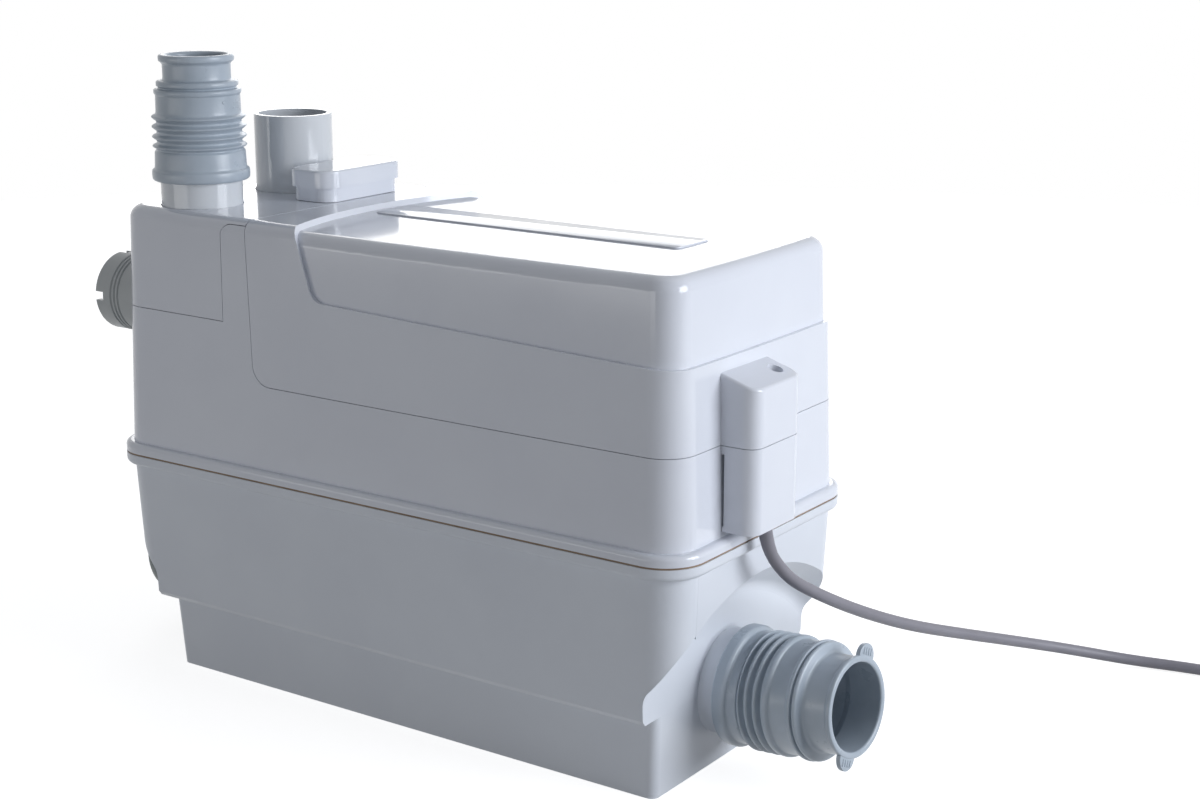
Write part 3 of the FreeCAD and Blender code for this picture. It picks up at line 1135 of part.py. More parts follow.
# Discharge side: valve chamber with its flap, side port, riser and the ribbed sleeve
def make_discharge():
    rise = spigot_top - valve_floor
    bore = spigot_radius - spigot_wall
    socket_bore = riser_radius + sleeve_fit
    chamber = turned("valve_chamber", [
        (socket_bore, -valve_socket),
        (socket_bore + spigot_wall, -valve_socket),
        (socket_bore + spigot_wall, 0),
        (spigot_radius, 0),
        (spigot_radius, rise),
        (bore, rise),
        (bore, spigot_wall),
        (valve_inlet + 2, spigot_wall),
        (valve_inlet + 2, spigot_wall + seat_height),
        (valve_inlet, spigot_wall + seat_height),
        (valve_inlet, 0),
        (socket_bore, 0),
    ], valve_across, valve_aside, valve_floor)
    branch = lying_cylinder("valve_branch", branch_end, valve_aside, port_level, branch_radius,
                            valve_across - branch_end)
    space = cylinder("chamber_space", valve_across, valve_aside, valve_floor, spigot_radius - 1, rise)
    branch_outside = boolean("Cut", "valve_branch_outside", branch, space)
    joined = boolean("MultiFuse", "valve_joined", chamber, branch_outside)
    branch_hole = lying_cylinder("branch_hole", branch_end + spigot_wall, valve_aside, port_level, branch_bore,
                                 valve_across - branch_end - spigot_wall)
    drilled = boolean("Cut", "valve_drilled", joined, branch_hole)
    pin_x = valve_across + valve_pin_offset
    pin_z = valve_floor + spigot_wall + seat_height + flap_gap + flap_thickness / 2
    lug_in, lug_out = knuckle_half + flap_gap, knuckle_half + flap_gap + 3
    lugs, spans = [], ((-lug_out, -lug_in), (lug_in, lug_out))
    for name, (low, high) in zip(("front", "back"), spans):
        lugs.append(block(f"valve_{name}_lug", pin_x - knuckle_radius, pin_x + knuckle_radius - 0.2,
                          valve_aside + low, valve_aside + high, valve_floor + spigot_wall - 1,
                          pin_z + knuckle_radius))
    with_lugs = boolean("MultiFuse", "valve_with_lugs", drilled, *lugs)
    pin_hole = cross_cylinder("valve_pin_hole", pin_x, valve_aside - lug_out - 1, pin_z, pin_radius + pin_fit,
                              lug_out * 2 + 2)
    keep(boolean("Cut", "valve_body", with_lugs, pin_hole))
    keep(cross_cylinder("valve_pin", pin_x, valve_aside - lug_out, pin_z, pin_radius, lug_out * 2))

    disc = cylinder("valve_flap_disc", valve_across, valve_aside, pin_z - flap_thickness / 2, flap_radius,
                    flap_thickness)
    arm = block("valve_flap_arm", valve_across, pin_x, valve_aside - knuckle_half, valve_aside + knuckle_half,
                pin_z - flap_thickness / 2, pin_z + flap_thickness / 2)
    knuckle = cross_cylinder("valve_flap_knuckle", pin_x, valve_aside - knuckle_half, pin_z,
                             knuckle_radius - flap_gap, knuckle_half * 2)
    flap = boolean("MultiFuse", "valve_flap_joined", disc, arm, knuckle)
    flap_hole = cross_cylinder("valve_flap_hole", pin_x, valve_aside - knuckle_half - 1, pin_z,
                               pin_radius + pin_fit, knuckle_half * 2 + 2)
    keep(boolean("Cut", "valve_flap", flap, flap_hole))

    # side port: a sleeve with thread grooves near its rim and two slots across the rim
    outline = [(0, port_bore), (0, spigot_radius)]
    for i in range(3):
        start = port_plain + port_pitch * i
        outline += [(start, spigot_radius), (start + 0.6, spigot_radius - port_groove),
                    (start + 1.4, spigot_radius - port_groove), (start + 2, spigot_radius)]
    length = port_inner_end - port_end
    outline += [(length, spigot_radius), (length, port_bore)]
    port = turned("side_port_sleeve", outline, port_end, valve_aside, port_level, "H_Axis")
    slot_start, slot_end = port_end - 1, port_end + port_slot_depth
    half_slot, reach = port_slot_width / 2, spigot_radius + 1
    across_slot = block("port_slot_upright", slot_start, slot_end, valve_aside - half_slot,
                        valve_aside + half_slot, port_level - reach, port_level + reach)
    level_slot = block("port_slot_level", slot_start, slot_end, valve_aside - reach, valve_aside + reach,
                       port_level - half_slot, port_level + half_slot)
    keep(boolean("Cut", "side_port", port, across_slot, level_slot))

    # riser: along under the deck, up at a slant and upright into the valve's socket
    start = casing_outlet_end + riser_insert
    path = [(start, riser_level), (riser_turn, riser_level), (valve_across, riser_rise),
            (valve_across, valve_floor)]
    keep(bent_pipe("discharge_riser", path, riser_knee, riser_radius, riser_radius - riser_wall, valve_aside))

    # ribbed rubber sleeve on the spigot
    top = sleeve_profile_top
    sleeve_bore = spigot_radius + sleeve_fit
    keep(turned("discharge_connector", [
        (sleeve_bore, 0), (sleeve_foot, 0), (sleeve_bead, 1), (sleeve_bead, 6.8), (sleeve_body, 7.3),
        (sleeve_body, 18), (sleeve_neck, 19.2), (sleeve_rib, 20.8), (sleeve_neck, 23.7), (sleeve_rib, 26.6),
        (sleeve_neck, 29.6), (sleeve_rib, 32.7), (sleeve_neck, 35.7), (sleeve_rib, 38.7), (sleeve_neck, 40.5),
        (sleeve_neck, 52.5), (sleeve_neck + 0.9, 53), (sleeve_neck + 0.9, 55.5), (sleeve_neck - 2.2, 56),
        (sleeve_neck - 2.2, 57), (sleeve_neck - 0.8, 57.4), (sleeve_neck - 0.8, 60.5), (sleeve_tube, 61.2),
        (sleeve_tube, top - 5), (sleeve_lip - 0.8, top - 4), (sleeve_lip, top - 3), (sleeve_lip, top - 1),
        (sleeve_lip - 0.8, top), (discharge_bore, top), (discharge_bore, 57.5), (sleeve_bore - 2.4, 54.5),
        (sleeve_bore - 2.4, 17), (sleeve_bore, 15.5),
    ], valve_across, valve_aside, sleeve_low))


def bent_pipe(label, route, knee, outer, inner, aside):
    """A pipe in an upright plane: straight runs joined by equal bends, swept and hollowed."""
    body = new_body(label)
    path = new_sketch(body, f"{label}_path", "XZ_Plane", -aside)
    spots = [(as_size(x), as_size(z)) for x, z in route]
    flat = [V(x.value, z.value, 0) for x, z in spots]
    ends = []
    for i in range(1, len(flat) - 1):
        before, after = (flat[i - 1] - flat[i]).normalize(), (flat[i + 1] - flat[i]).normalize()
        half = before.getAngle(after) / 2
        reach = knee.value / math.tan(half)
        middle = flat[i] + (before + after).normalize() * (knee.value / math.sin(half))
        ends.append((flat[i] + before * reach, flat[i] + after * reach, middle))
    start, runs = flat[0], []
    edges = []
    for entry, leave, middle in ends:
        edges.append(Part.LineSegment(start, entry))
        bulge = middle + (entry + leave - middle * 2).normalize() * knee.value
        edges.append(Part.Arc(entry, bulge, leave))
        start = leave
    edges.append(Part.LineSegment(start, flat[-1]))
    for edge in edges:
        runs.append(path.addGeometry(edge, False))
    # the corner points steer the bends: each run lies on the line between two of them
    marks = []
    for x, z in spots[1:-1]:
        index = path.addGeometry(Part.Point(V(x.value, z.value, 0)), True)
        hold_point(path, index, 1, x, z)
        marks.append(index)
    for i in range(len(runs) - 1):
        line, arc = (runs[i], runs[i + 1]) if i % 2 == 0 else (runs[i + 1], runs[i])
        forward = ends[i // 2][2]
        ccw = (ends[i // 2][1] - ends[i // 2][0]).cross(forward - ends[i // 2][0]).z > 0
        arc_end = (1 if ccw else 2) if i % 2 == 0 else (2 if ccw else 1)
        line_end = 2 if i % 2 == 0 else 1
        path.addConstraint(Sketcher.Constraint("Tangent", line, line_end, arc, arc_end))
    for i, mark in enumerate(marks):
        path.addConstraint(Sketcher.Constraint("PointOnObject", mark, 1, runs[2 * i]))
        path.addConstraint(Sketcher.Constraint("PointOnObject", mark, 1, runs[2 * i + 2]))
        hold(path, "Radius", knee, runs[2 * i + 1])
    hold_point(path, runs[0], 1, *spots[0])
    hold_point(path, runs[-1], 2, *spots[-1])
    section = new_sketch(body, f"{label}_section", "YZ_Plane", spots[0][0])
    circle(section, aside, spots[0][1], outer)
    circle(section, aside, spots[0][1], inner)
    sweep = body.newObject("PartDesign::AdditivePipe", f"{label}_sweep")
    sweep.Profile = section
    sweep.Spine = (path, [f"Edge{i + 1}" for i in range(len(runs))])
    doc.recompute()
    return body


# Upper inlet and the vent with its carbon filter
def make_upper_inlet():
    bore = spigot_radius - spigot_wall
    collar = deck_top - stub_low
    stop = stub_stop - stub_low
    top = stub_top - stub_low
    lower = spigot_radius + stub_step
    keep(turned("top_inlet_pipe", [
        (bore, 0), (lower, 0), (lower, collar), (spigot_radius + 4, collar),
        (spigot_radius + 4, collar + spigot_wall), (lower, collar + spigot_wall), (lower, stop),
        (spigot_radius, stop), (spigot_radius, top), (bore, top),
    ], stub_across, stub_aside, stub_low))


def tray_prism(body, name, level, height, half_x, half_y, corner, cuts=False):
    sketch = new_sketch(body, f"{name}_plan", "XY_Plane", level)
    rounded_rectangle(sketch, vent_across, vent_aside, half_x, half_y, corner)
    if cuts:
        return pocket(body, sketch, height, name)
    return pad(body, sketch, height, name)


def make_vent():
    lip_low = top_level + vent_lift
    lip_top = vent_lid_low - vent_lift
    lip_x, lip_y = vent_half_x - vent_step, vent_half_y - vent_step
    lip_corner = vent_corner - vent_step
    tray = new_body("filter_tray")
    tray_prism(tray, "tray_well", vent_well, lip_low + 1 - vent_well, well_half_x, well_half_y, well_corner)
    tray_prism(tray, "tray_lip", lip_low, lip_top - lip_low, lip_x, lip_y, lip_corner)
    tray_prism(tray, "tray_upper_space", lip_top, lip_top - lip_low - vent_wall, lip_x - vent_wall,
               lip_y - vent_wall, lip_corner - vent_wall, True)
    tray_prism(tray, "tray_lower_space", lip_top, lip_top - vent_well - vent_wall, well_half_x - vent_wall,
               well_half_y - vent_wall, well_corner - vent_wall, True)
    hole = new_sketch(tray, "tray_hole_circle", "XY_Plane", vent_well + vent_wall)
    circle(hole, vent_across, vent_aside, vent_pipe_radius - vent_wall)
    pocket(tray, hole, vent_wall * 2, "tray_air_hole")
    keep(tray)

    filling = new_body("carbon_filter")
    gap = vent_wall + vent_lift
    tray_prism(filling, "carbon_block", vent_well + gap, plug_low - vent_lift * 2 - vent_well - gap,
               well_half_x - gap, well_half_y - gap, well_corner - gap)
    keep(filling)

    lid = new_body("filter_lid")
    tray_prism(lid, "lid_block", vent_lid_low, vent_top - vent_lid_low, vent_half_x, vent_half_y, vent_corner)
    round_edges(lid, lid_rounding, "lid_rounding", level_edges(vent_top))
    plug_x, plug_y = lip_x - vent_wall - vent_lift, lip_y - vent_wall - vent_lift
    plug_corner = lip_corner - vent_wall - vent_lift
    tray_prism(lid, "lid_plug", plug_low, vent_lid_low + 1 - plug_low, plug_x, plug_y, plug_corner)
    space = vent_top - vent_wall - plug_low
    lid_sketch = new_sketch(lid, "lid_space_plan", "XY_Plane", plug_low)
    rounded_rectangle(lid_sketch, vent_across, vent_aside, plug_x - vent_wall, plug_y - vent_wall,
                      plug_corner - vent_wall)
    pocket(lid, lid_sketch, space, "lid_space", True)
    keep(lid)
    keep(ring("vent_pipe", vent_across, vent_aside, vent_pipe_low, vent_pipe_radius,
              vent_pipe_radius - vent_wall, vent_well - vent_pipe_low))


# Low inlets: the ribbed connector, the blanking cap, and the flaps behind them
def make_low_inlets():
    fit = inlet_spigot_radius + sleeve_fit
    back = as_size(11)
    straight = turned("connector_straight", [
        (back, 0), (back, collar_radius), (19, collar_radius), (19.5, inlet_body), (26.3, inlet_body),
        (27.6, inlet_valley), (29.2, inlet_rib), (31, inlet_rib), (33, inlet_valley), (33, 0),
    ], recess_face, 0, inlet_level, "H_Axis")
    tilted = turned("connector_tilted", [
        (0, 0), (0, inlet_valley), (1.2, inlet_rib), (3, inlet_rib), (4.8, inlet_valley), (6.9, inlet_rib),
        (8.6, inlet_rib), (10.7, inlet_valley), (12.6, inlet_rib), (14.4, inlet_rib), (16.5, inlet_valley),
        (18, inlet_rib - 0.5), (22, inlet_rib - 0.5), (22.6, inlet_body), (34, inlet_body),
        (35, inlet_body + 1.4), (37, inlet_body + 1.4), (37.4, inlet_body - 0.6), (38, inlet_body + 0.9), (40.2, inlet_body + 0.9),
        (41.4, inlet_mouth), (mouth_end - 3.6, inlet_mouth), (mouth_end - 3, inlet_mouth + 1.2),
        (mouth_end - 0.5, inlet_mouth + 1.2), (mouth_end, inlet_mouth + 0.6), (mouth_end, 0),
    ], recess_face + mouth_pivot, 0, inlet_level, "H_Axis")
    tilt = FreeCAD.Rotation(-mouth_yaw.value, -mouth_rise.value, 0)
    tilted.Placement.Rotation = tilt
    pieces = [straight, tilted]
    opposite = tab_turn + 180
    for name, turn in (("upper", tab_turn), ("lower", opposite)):
        angle = math.radians(turn.value)
        tab = doc.addObject("Part::Cylinder", f"{name}_pull_tab")
        bind(tab, "Radius", tab_radius)
        bind(tab, "Height", tab_thickness)
        reach = inlet_mouth.value + 0.4
        spot = V(mouth_end.value - tab_thickness.value, reach * math.sin(angle), reach * math.cos(angle))
        tab.Placement = FreeCAD.Placement(
            tilt.multVec(spot) + V((recess_face + mouth_pivot).value, 0, inlet_level.value),
            tilt.multiply(FreeCAD.Rotation(V(0, 1, 0), 90)))
        pieces.append(tab)
    solid = boolean("MultiFuse", "connector_solid", *pieces)
    near_bore = turned("connector_near_bore", [
        (back - 1, 0), (back - 1, fit), (inlet_spigot_length + 0.6, fit), (mouth_pivot + 2, mouth_bore + 2.6),
        (mouth_pivot + 2, 0),
    ], recess_face, 0, inlet_level, "H_Axis")
    far_bore = turned("connector_far_bore", [
        (-2, 0), (-2, mouth_bore + 3), (34, mouth_bore + 3), (39, mouth_bore), (mouth_end + 1, mouth_bore),
        (mouth_end + 1, 0),
    ], recess_face + mouth_pivot, 0, inlet_level, "H_Axis")
    far_bore.Placement.Rotation = tilt
    keep(boolean("Cut", "inlet_connector", solid, near_bore, far_bore))

    # blanking cap of the left inlet, turned about -X
    cap = turned("inlet_cap", [
        (-back, fit), (-back, collar_radius), (-19, collar_radius), (-19.5, inlet_body), (-26.3, inlet_body),
        (-27.6, inlet_valley), (-29.2, inlet_rib), (-31, inlet_rib), (-33, inlet_valley), (-35, inlet_rib),
        (-36.6, inlet_rib), (-38.6, inlet_valley), (-40, inlet_body + 1), (-66, inlet_body + 1),
        (-70, inlet_body - 1.6), (-71.4, inlet_body - 5), (-71.4, 0), (-68.4, 0), (-68.4, inlet_body - 5),
        (-66, inlet_body - 2.4), (-28, inlet_body - 2.4), (-26, inlet_valley - 2.4),
        (-inlet_spigot_length - 0.6, fit),
    ], -recess_face, 0, inlet_level, "H_Axis")
    keep(cap)

    # a flap behind each inlet, hung on its own pin
    for name, side in (("right", 1), ("left", -1)):
        pin_x = flap_pin_across * side
        seat = flap_seat - flap_gap
        start = seat - flap_thickness if side > 0 else -seat
        disc = lying_cylinder(f"{name}_flap_disc", start, 0, inlet_level, inlet_flap_radius, flap_thickness)
        half = flap_ear_inner - flap_gap
        arm = block(f"{name}_flap_arm", start, start + flap_thickness, -half, half, inlet_level, pin_level)
        knuckle = cross_cylinder(f"{name}_flap_knuckle", pin_x, -half, pin_level, knuckle_radius, half * 2)
        joined = boolean("MultiFuse", f"{name}_flap_joined", disc, arm, knuckle)
        hole = cross_cylinder(f"{name}_flap_hole", pin_x, -half - 1, pin_level, pin_radius + pin_fit,
                              half * 2 + 2)
        keep(boolean("Cut", f"{name}_inlet_flap", joined, hole))
        keep(cross_cylinder(f"{name}_flap_pin", pin_x, -flap_ear_outer, pin_level, pin_radius,
                            flap_ear_outer * 2))


# Pump and motor about one upright axis
def volute_outline(sketch, start_radius, wall):
    """Three quarter turns of growing radius, then two lines towards the outlet."""
    step = volute_growth
    radii = [start_radius - wall + step * i for i in range(3)]
    centres = [(as_size(0), as_size(0)), (as_size(0), -step), (-step, -step)]
    quarter = math.pi / 2
    arcs = []
    for i, ((cx, cy), radius) in enumerate(zip(centres, radii)):
        around = Part.Circle(V(cx.value, cy.value, 0), V(0, 0, 1), radius.value)
        low = quarter * (1 - i)
        arcs.append(sketch.addGeometry(Part.ArcOfCircle(around, low, low + quarter), False))
    left, base = -radii[0].value, centres[2][1].value - radii[2].value
    turn_x = centres[2][0].value
    along = sketch.addGeometry(Part.LineSegment(V(turn_x, base, 0), V(left, base, 0)), False)
    back = sketch.addGeometry(Part.LineSegment(V(left, base, 0), V(left, 0, 0)), False)
    for first, second in ((arcs[0], arcs[1]), (arcs[1], arcs[2])):
        sketch.addConstraint(Sketcher.Constraint("Tangent", first, 1, second, 2))
    sketch.addConstraint(Sketcher.Constraint("Tangent", arcs[2], 1, along, 1))
    sketch.addConstraint(Sketcher.Constraint("Coincident", along, 2, back, 1))
    sketch.addConstraint(Sketcher.Constraint("Tangent", back, 2, arcs[0], 2))
    sketch.addConstraint(Sketcher.Constraint("Vertical", back))
    sketch.addConstraint(Sketcher.Constraint("Horizontal", along))
    hold(sketch, "Radius", radii[0], arcs[0])
    sketch.addConstraint(Sketcher.Constraint("Coincident", arcs[0], 3, -1, 1))
    hold_point(sketch, arcs[1], 3, *centres[1])
    hold_point(sketch, arcs[2], 3, *centres[2])
    return sketch


def place_at_motor(body, level=None):
    bind(body, "Placement.Base.x", motor_across)
    bind(body, "Placement.Base.y", motor_aside)
    if level is not None:
        bind(body, "Placement.Base.z", level)
    doc.recompute()
    return body


def make_pump():
    casing_top = casing_low + casing_height
    outside = new_body("casing_outside")
    sketch = new_sketch(outside, "volute_outside", "XY_Plane", casing_low)
    volute_outline(sketch, volute_start, as_size(0))
    pad(outside, sketch, casing_height, "volute_block")
    flange = new_sketch(outside, "casing_flange_plan", "XY_Plane", casing_low)
    circle(flange, 0, 0, casing_flange)
    pad(outside, flange, casing_floor, "casing_flange_plate")
    socket = new_sketch(outside, "seal_socket_plan", "XY_Plane", casing_top - 1)
    circle(socket, 0, 0, seal_radius + casing_wall)
    pad(outside, socket, seal_width_up + 1, "seal_socket_ring")
    place_at_motor(outside)
    inside = new_body("casing_inside")
    inner = new_sketch(inside, "volute_inside", "XY_Plane", casing_low + casing_floor)
    volute_outline(inner, volute_start, casing_wall)
    pad(inside, inner, casing_height - casing_floor - casing_wall, "volute_space")
    for name, radius, low, height in (
        ("casing_mouth", casing_mouth, casing_low - 1, casing_floor + 2),
        ("casing_shaft_hole", shaft_radius + hole_clearance, casing_top - casing_wall - 1, casing_wall + 2),
        ("seal_space", seal_radius + sleeve_fit, casing_top, seal_width_up + 1),
    ):
        space = new_sketch(inside, f"{name}_plan", "XY_Plane", low)
        circle(space, 0, 0, radius)
        pad(inside, space, height, name)
    place_at_motor(inside)
    socket_outer = riser_radius + sleeve_fit + 2
    outlet = lying_cylinder("casing_outlet", casing_outlet_end, valve_aside, riser_level, socket_outer,
                            motor_across - casing_outlet_end)
    bore_start = casing_outlet_end + riser_insert
    outlet_bore = lying_cylinder("casing_outlet_bore", bore_start, valve_aside, riser_level,
                                 riser_radius - riser_wall, motor_across - bore_start - 4)
    socket_bore = lying_cylinder("casing_outlet_socket", casing_outlet_end - 1, valve_aside, riser_level,
                                 riser_radius + sleeve_fit, riser_insert + 1)
    screw_holes = ring_of_holes("casing_screw_holes", small_screw + screw_fit, casing_screw_circle,
                                casing_screw_count, motor_across, motor_aside, casing_low - 1,
                                casing_floor - 0.5)
    solid = boolean("MultiFuse", "casing_solid", outside, outlet)
    keep(boolean("Cut", "pump_casing", solid, inside, outlet_bore, socket_bore, screw_holes))

    cover = turned("suction_plate", [
        (eye_radius, -cover_thickness), (casing_flange, -cover_thickness), (casing_flange, 0),
        (casing_mouth - sleeve_fit, 0), (casing_mouth - sleeve_fit, casing_floor), (eye_radius, casing_floor),
    ], motor_across, motor_aside, casing_low)
    cover_holes = ring_of_holes("cover_screw_holes", small_screw + screw_fit, casing_screw_circle,
                                casing_screw_count, motor_across, motor_aside, casing_low - cover_thickness - 1,
                                cover_thickness + 2)
    keep(boolean("Cut", "suction_cover", cover, cover_holes))
    keep(screw_circle("casing_screws", [
        (0, -2), (2.8, -2), (2.8, 0), (small_screw, 0), (small_screw, cover_thickness + casing_floor - 1.5),
        (0, cover_thickness + casing_floor - 1.5),
    ], casing_screw_circle, casing_screw_count, motor_across, motor_aside, casing_low - cover_thickness))

    # impeller: back plate, hub and curved vanes below it
    wheel = new_body("impeller")
    plate_low = impeller_low + impeller_height - impeller_plate
    plate = new_sketch(wheel, "impeller_plate_plan", "XY_Plane", plate_low)
    circle(plate, 0, 0, impeller_radius)
    circle(plate, 0, 0, shaft_radius + pin_fit)
    pad(wheel, plate, impeller_plate, "impeller_plate_pad")
    hub = new_sketch(wheel, "impeller_hub_plan", "XY_Plane", impeller_low + 3)
    circle(hub, 0, 0, shaft_radius + 4)
    circle(hub, 0, 0, shaft_radius + pin_fit)
    pad(wheel, hub, plate_low - impeller_low - 3, "impeller_hub")
    vane = new_sketch(wheel, "vane_plan", "XY_Plane", impeller_low)
    vane_arcs(vane)
    vane_pad = pad(wheel, vane, plate_low - impeller_low + 0.5, "impeller_vane")
    repeat_round(wheel, vane_pad, vane_count, "impeller_vanes")
    keep(place_at_motor(wheel))
    nut = new_body("impeller_nut")
    nut_sketch = new_sketch(nut, "nut_plan", "XY_Plane")
    hexagon(nut_sketch, shaft_radius + 3)
    circle(nut_sketch, 0, 0, shaft_radius + pin_fit)
    pad(nut, nut_sketch, nut_height, "nut_block")
    keep(place_at_motor(nut, impeller_low + 3 - nut_height))

    shaft_low = impeller_low + 3 - nut_height - 1
    shaft_top = motor_top - 0.5
    keep(cylinder("motor_shaft", motor_across, motor_aside, shaft_low, shaft_radius, shaft_top - shaft_low))
    keep(ring("shaft_seal", motor_across, motor_aside, casing_top, seal_radius, shaft_radius + screw_fit,
              seal_width_up))
    column_top = deck_top + plate_seal_height
    keep(ring("pump_column", motor_across, motor_aside, casing_top, column_radius, column_radius - column_wall,
              column_top - casing_top))


def vane_arcs(sketch):
    """One backward-curved vane between two arcs about the same centre."""
    inner, outer = shaft_radius.value + 5, impeller_radius.value - 0.5
    bend = impeller_radius * 0.62
    rise = impeller_radius * 0.3
    centre = V(bend.value + 2, rise.value, 0)
    outer_meet = meeting_point(V(0, 0, 0), outer, centre, bend.value, V(outer, -rise.value, 0))
    inner_meet = meeting_point(V(0, 0, 0), inner, centre, bend.value, V(inner, 0, 0))
    thick = vane_thickness.value

    def polar(point):
        return math.atan2(point.y - centre.y, point.x - centre.x)

    start, end = sorted((polar(outer_meet) % (2 * math.pi), polar(inner_meet) % (2 * math.pi)))
    arcs = []
    for radius in (bend.value, bend.value + thick):
        around = Part.Circle(centre, V(0, 0, 1), radius)
        arcs.append(sketch.addGeometry(Part.ArcOfCircle(around, start, end), False))
    ends = []
    for angle in (start, end):
        way = V(math.cos(angle), math.sin(angle), 0)
        edge = Part.LineSegment(centre + way * bend.value, centre + way * (bend.value + thick))
        ends.append(sketch.addGeometry(edge, False))
    for line, arc_end in zip(ends, (1, 2)):
        sketch.addConstraint(Sketcher.Constraint("Coincident", line, 1, arcs[0], arc_end))
        sketch.addConstraint(Sketcher.Constraint("Coincident", line, 2, arcs[1], arc_end))
    sketch.addConstraint(Sketcher.Constraint("Coincident", arcs[0], 3, arcs[1], 3))
    hold(sketch, "Radius", bend, arcs[0])
    hold(sketch, "Radius", bend + vane_thickness, arcs[1])
    hold_point(sketch, arcs[0], 3, bend + 2, rise)


def hexagon(sketch, flat_radius):
    """A hexagon about the origin, its flats at the given distance."""
    corner = flat_radius.value / math.cos(math.pi / 6)
    spots = [V(corner * math.cos(math.pi / 3 * i), corner * math.sin(math.pi / 3 * i), 0) for i in range(6)]
    sides = [sketch.addGeometry(Part.LineSegment(spots[i], spots[(i + 1) % 6]), False) for i in range(6)]
    rim = sketch.addGeometry(Part.Circle(V(0, 0, 0), V(0, 0, 1), flat_radius.value), True)
    for i in range(6):
        sketch.addConstraint(Sketcher.Constraint("Coincident", sides[i], 2, sides[(i + 1) % 6], 1))
        sketch.addConstraint(Sketcher.Constraint("Tangent", sides[i], rim))
        if i:
            sketch.addConstraint(Sketcher.Constraint("Equal", sides[0], sides[i]))
    sketch.addConstraint(Sketcher.Constraint("Coincident", rim, 3, -1, 1))
    hold(sketch, "Radius", flat_radius, rim)
    sketch.addConstraint(Sketcher.Constraint("PointOnObject", sides[0], 1, -1))


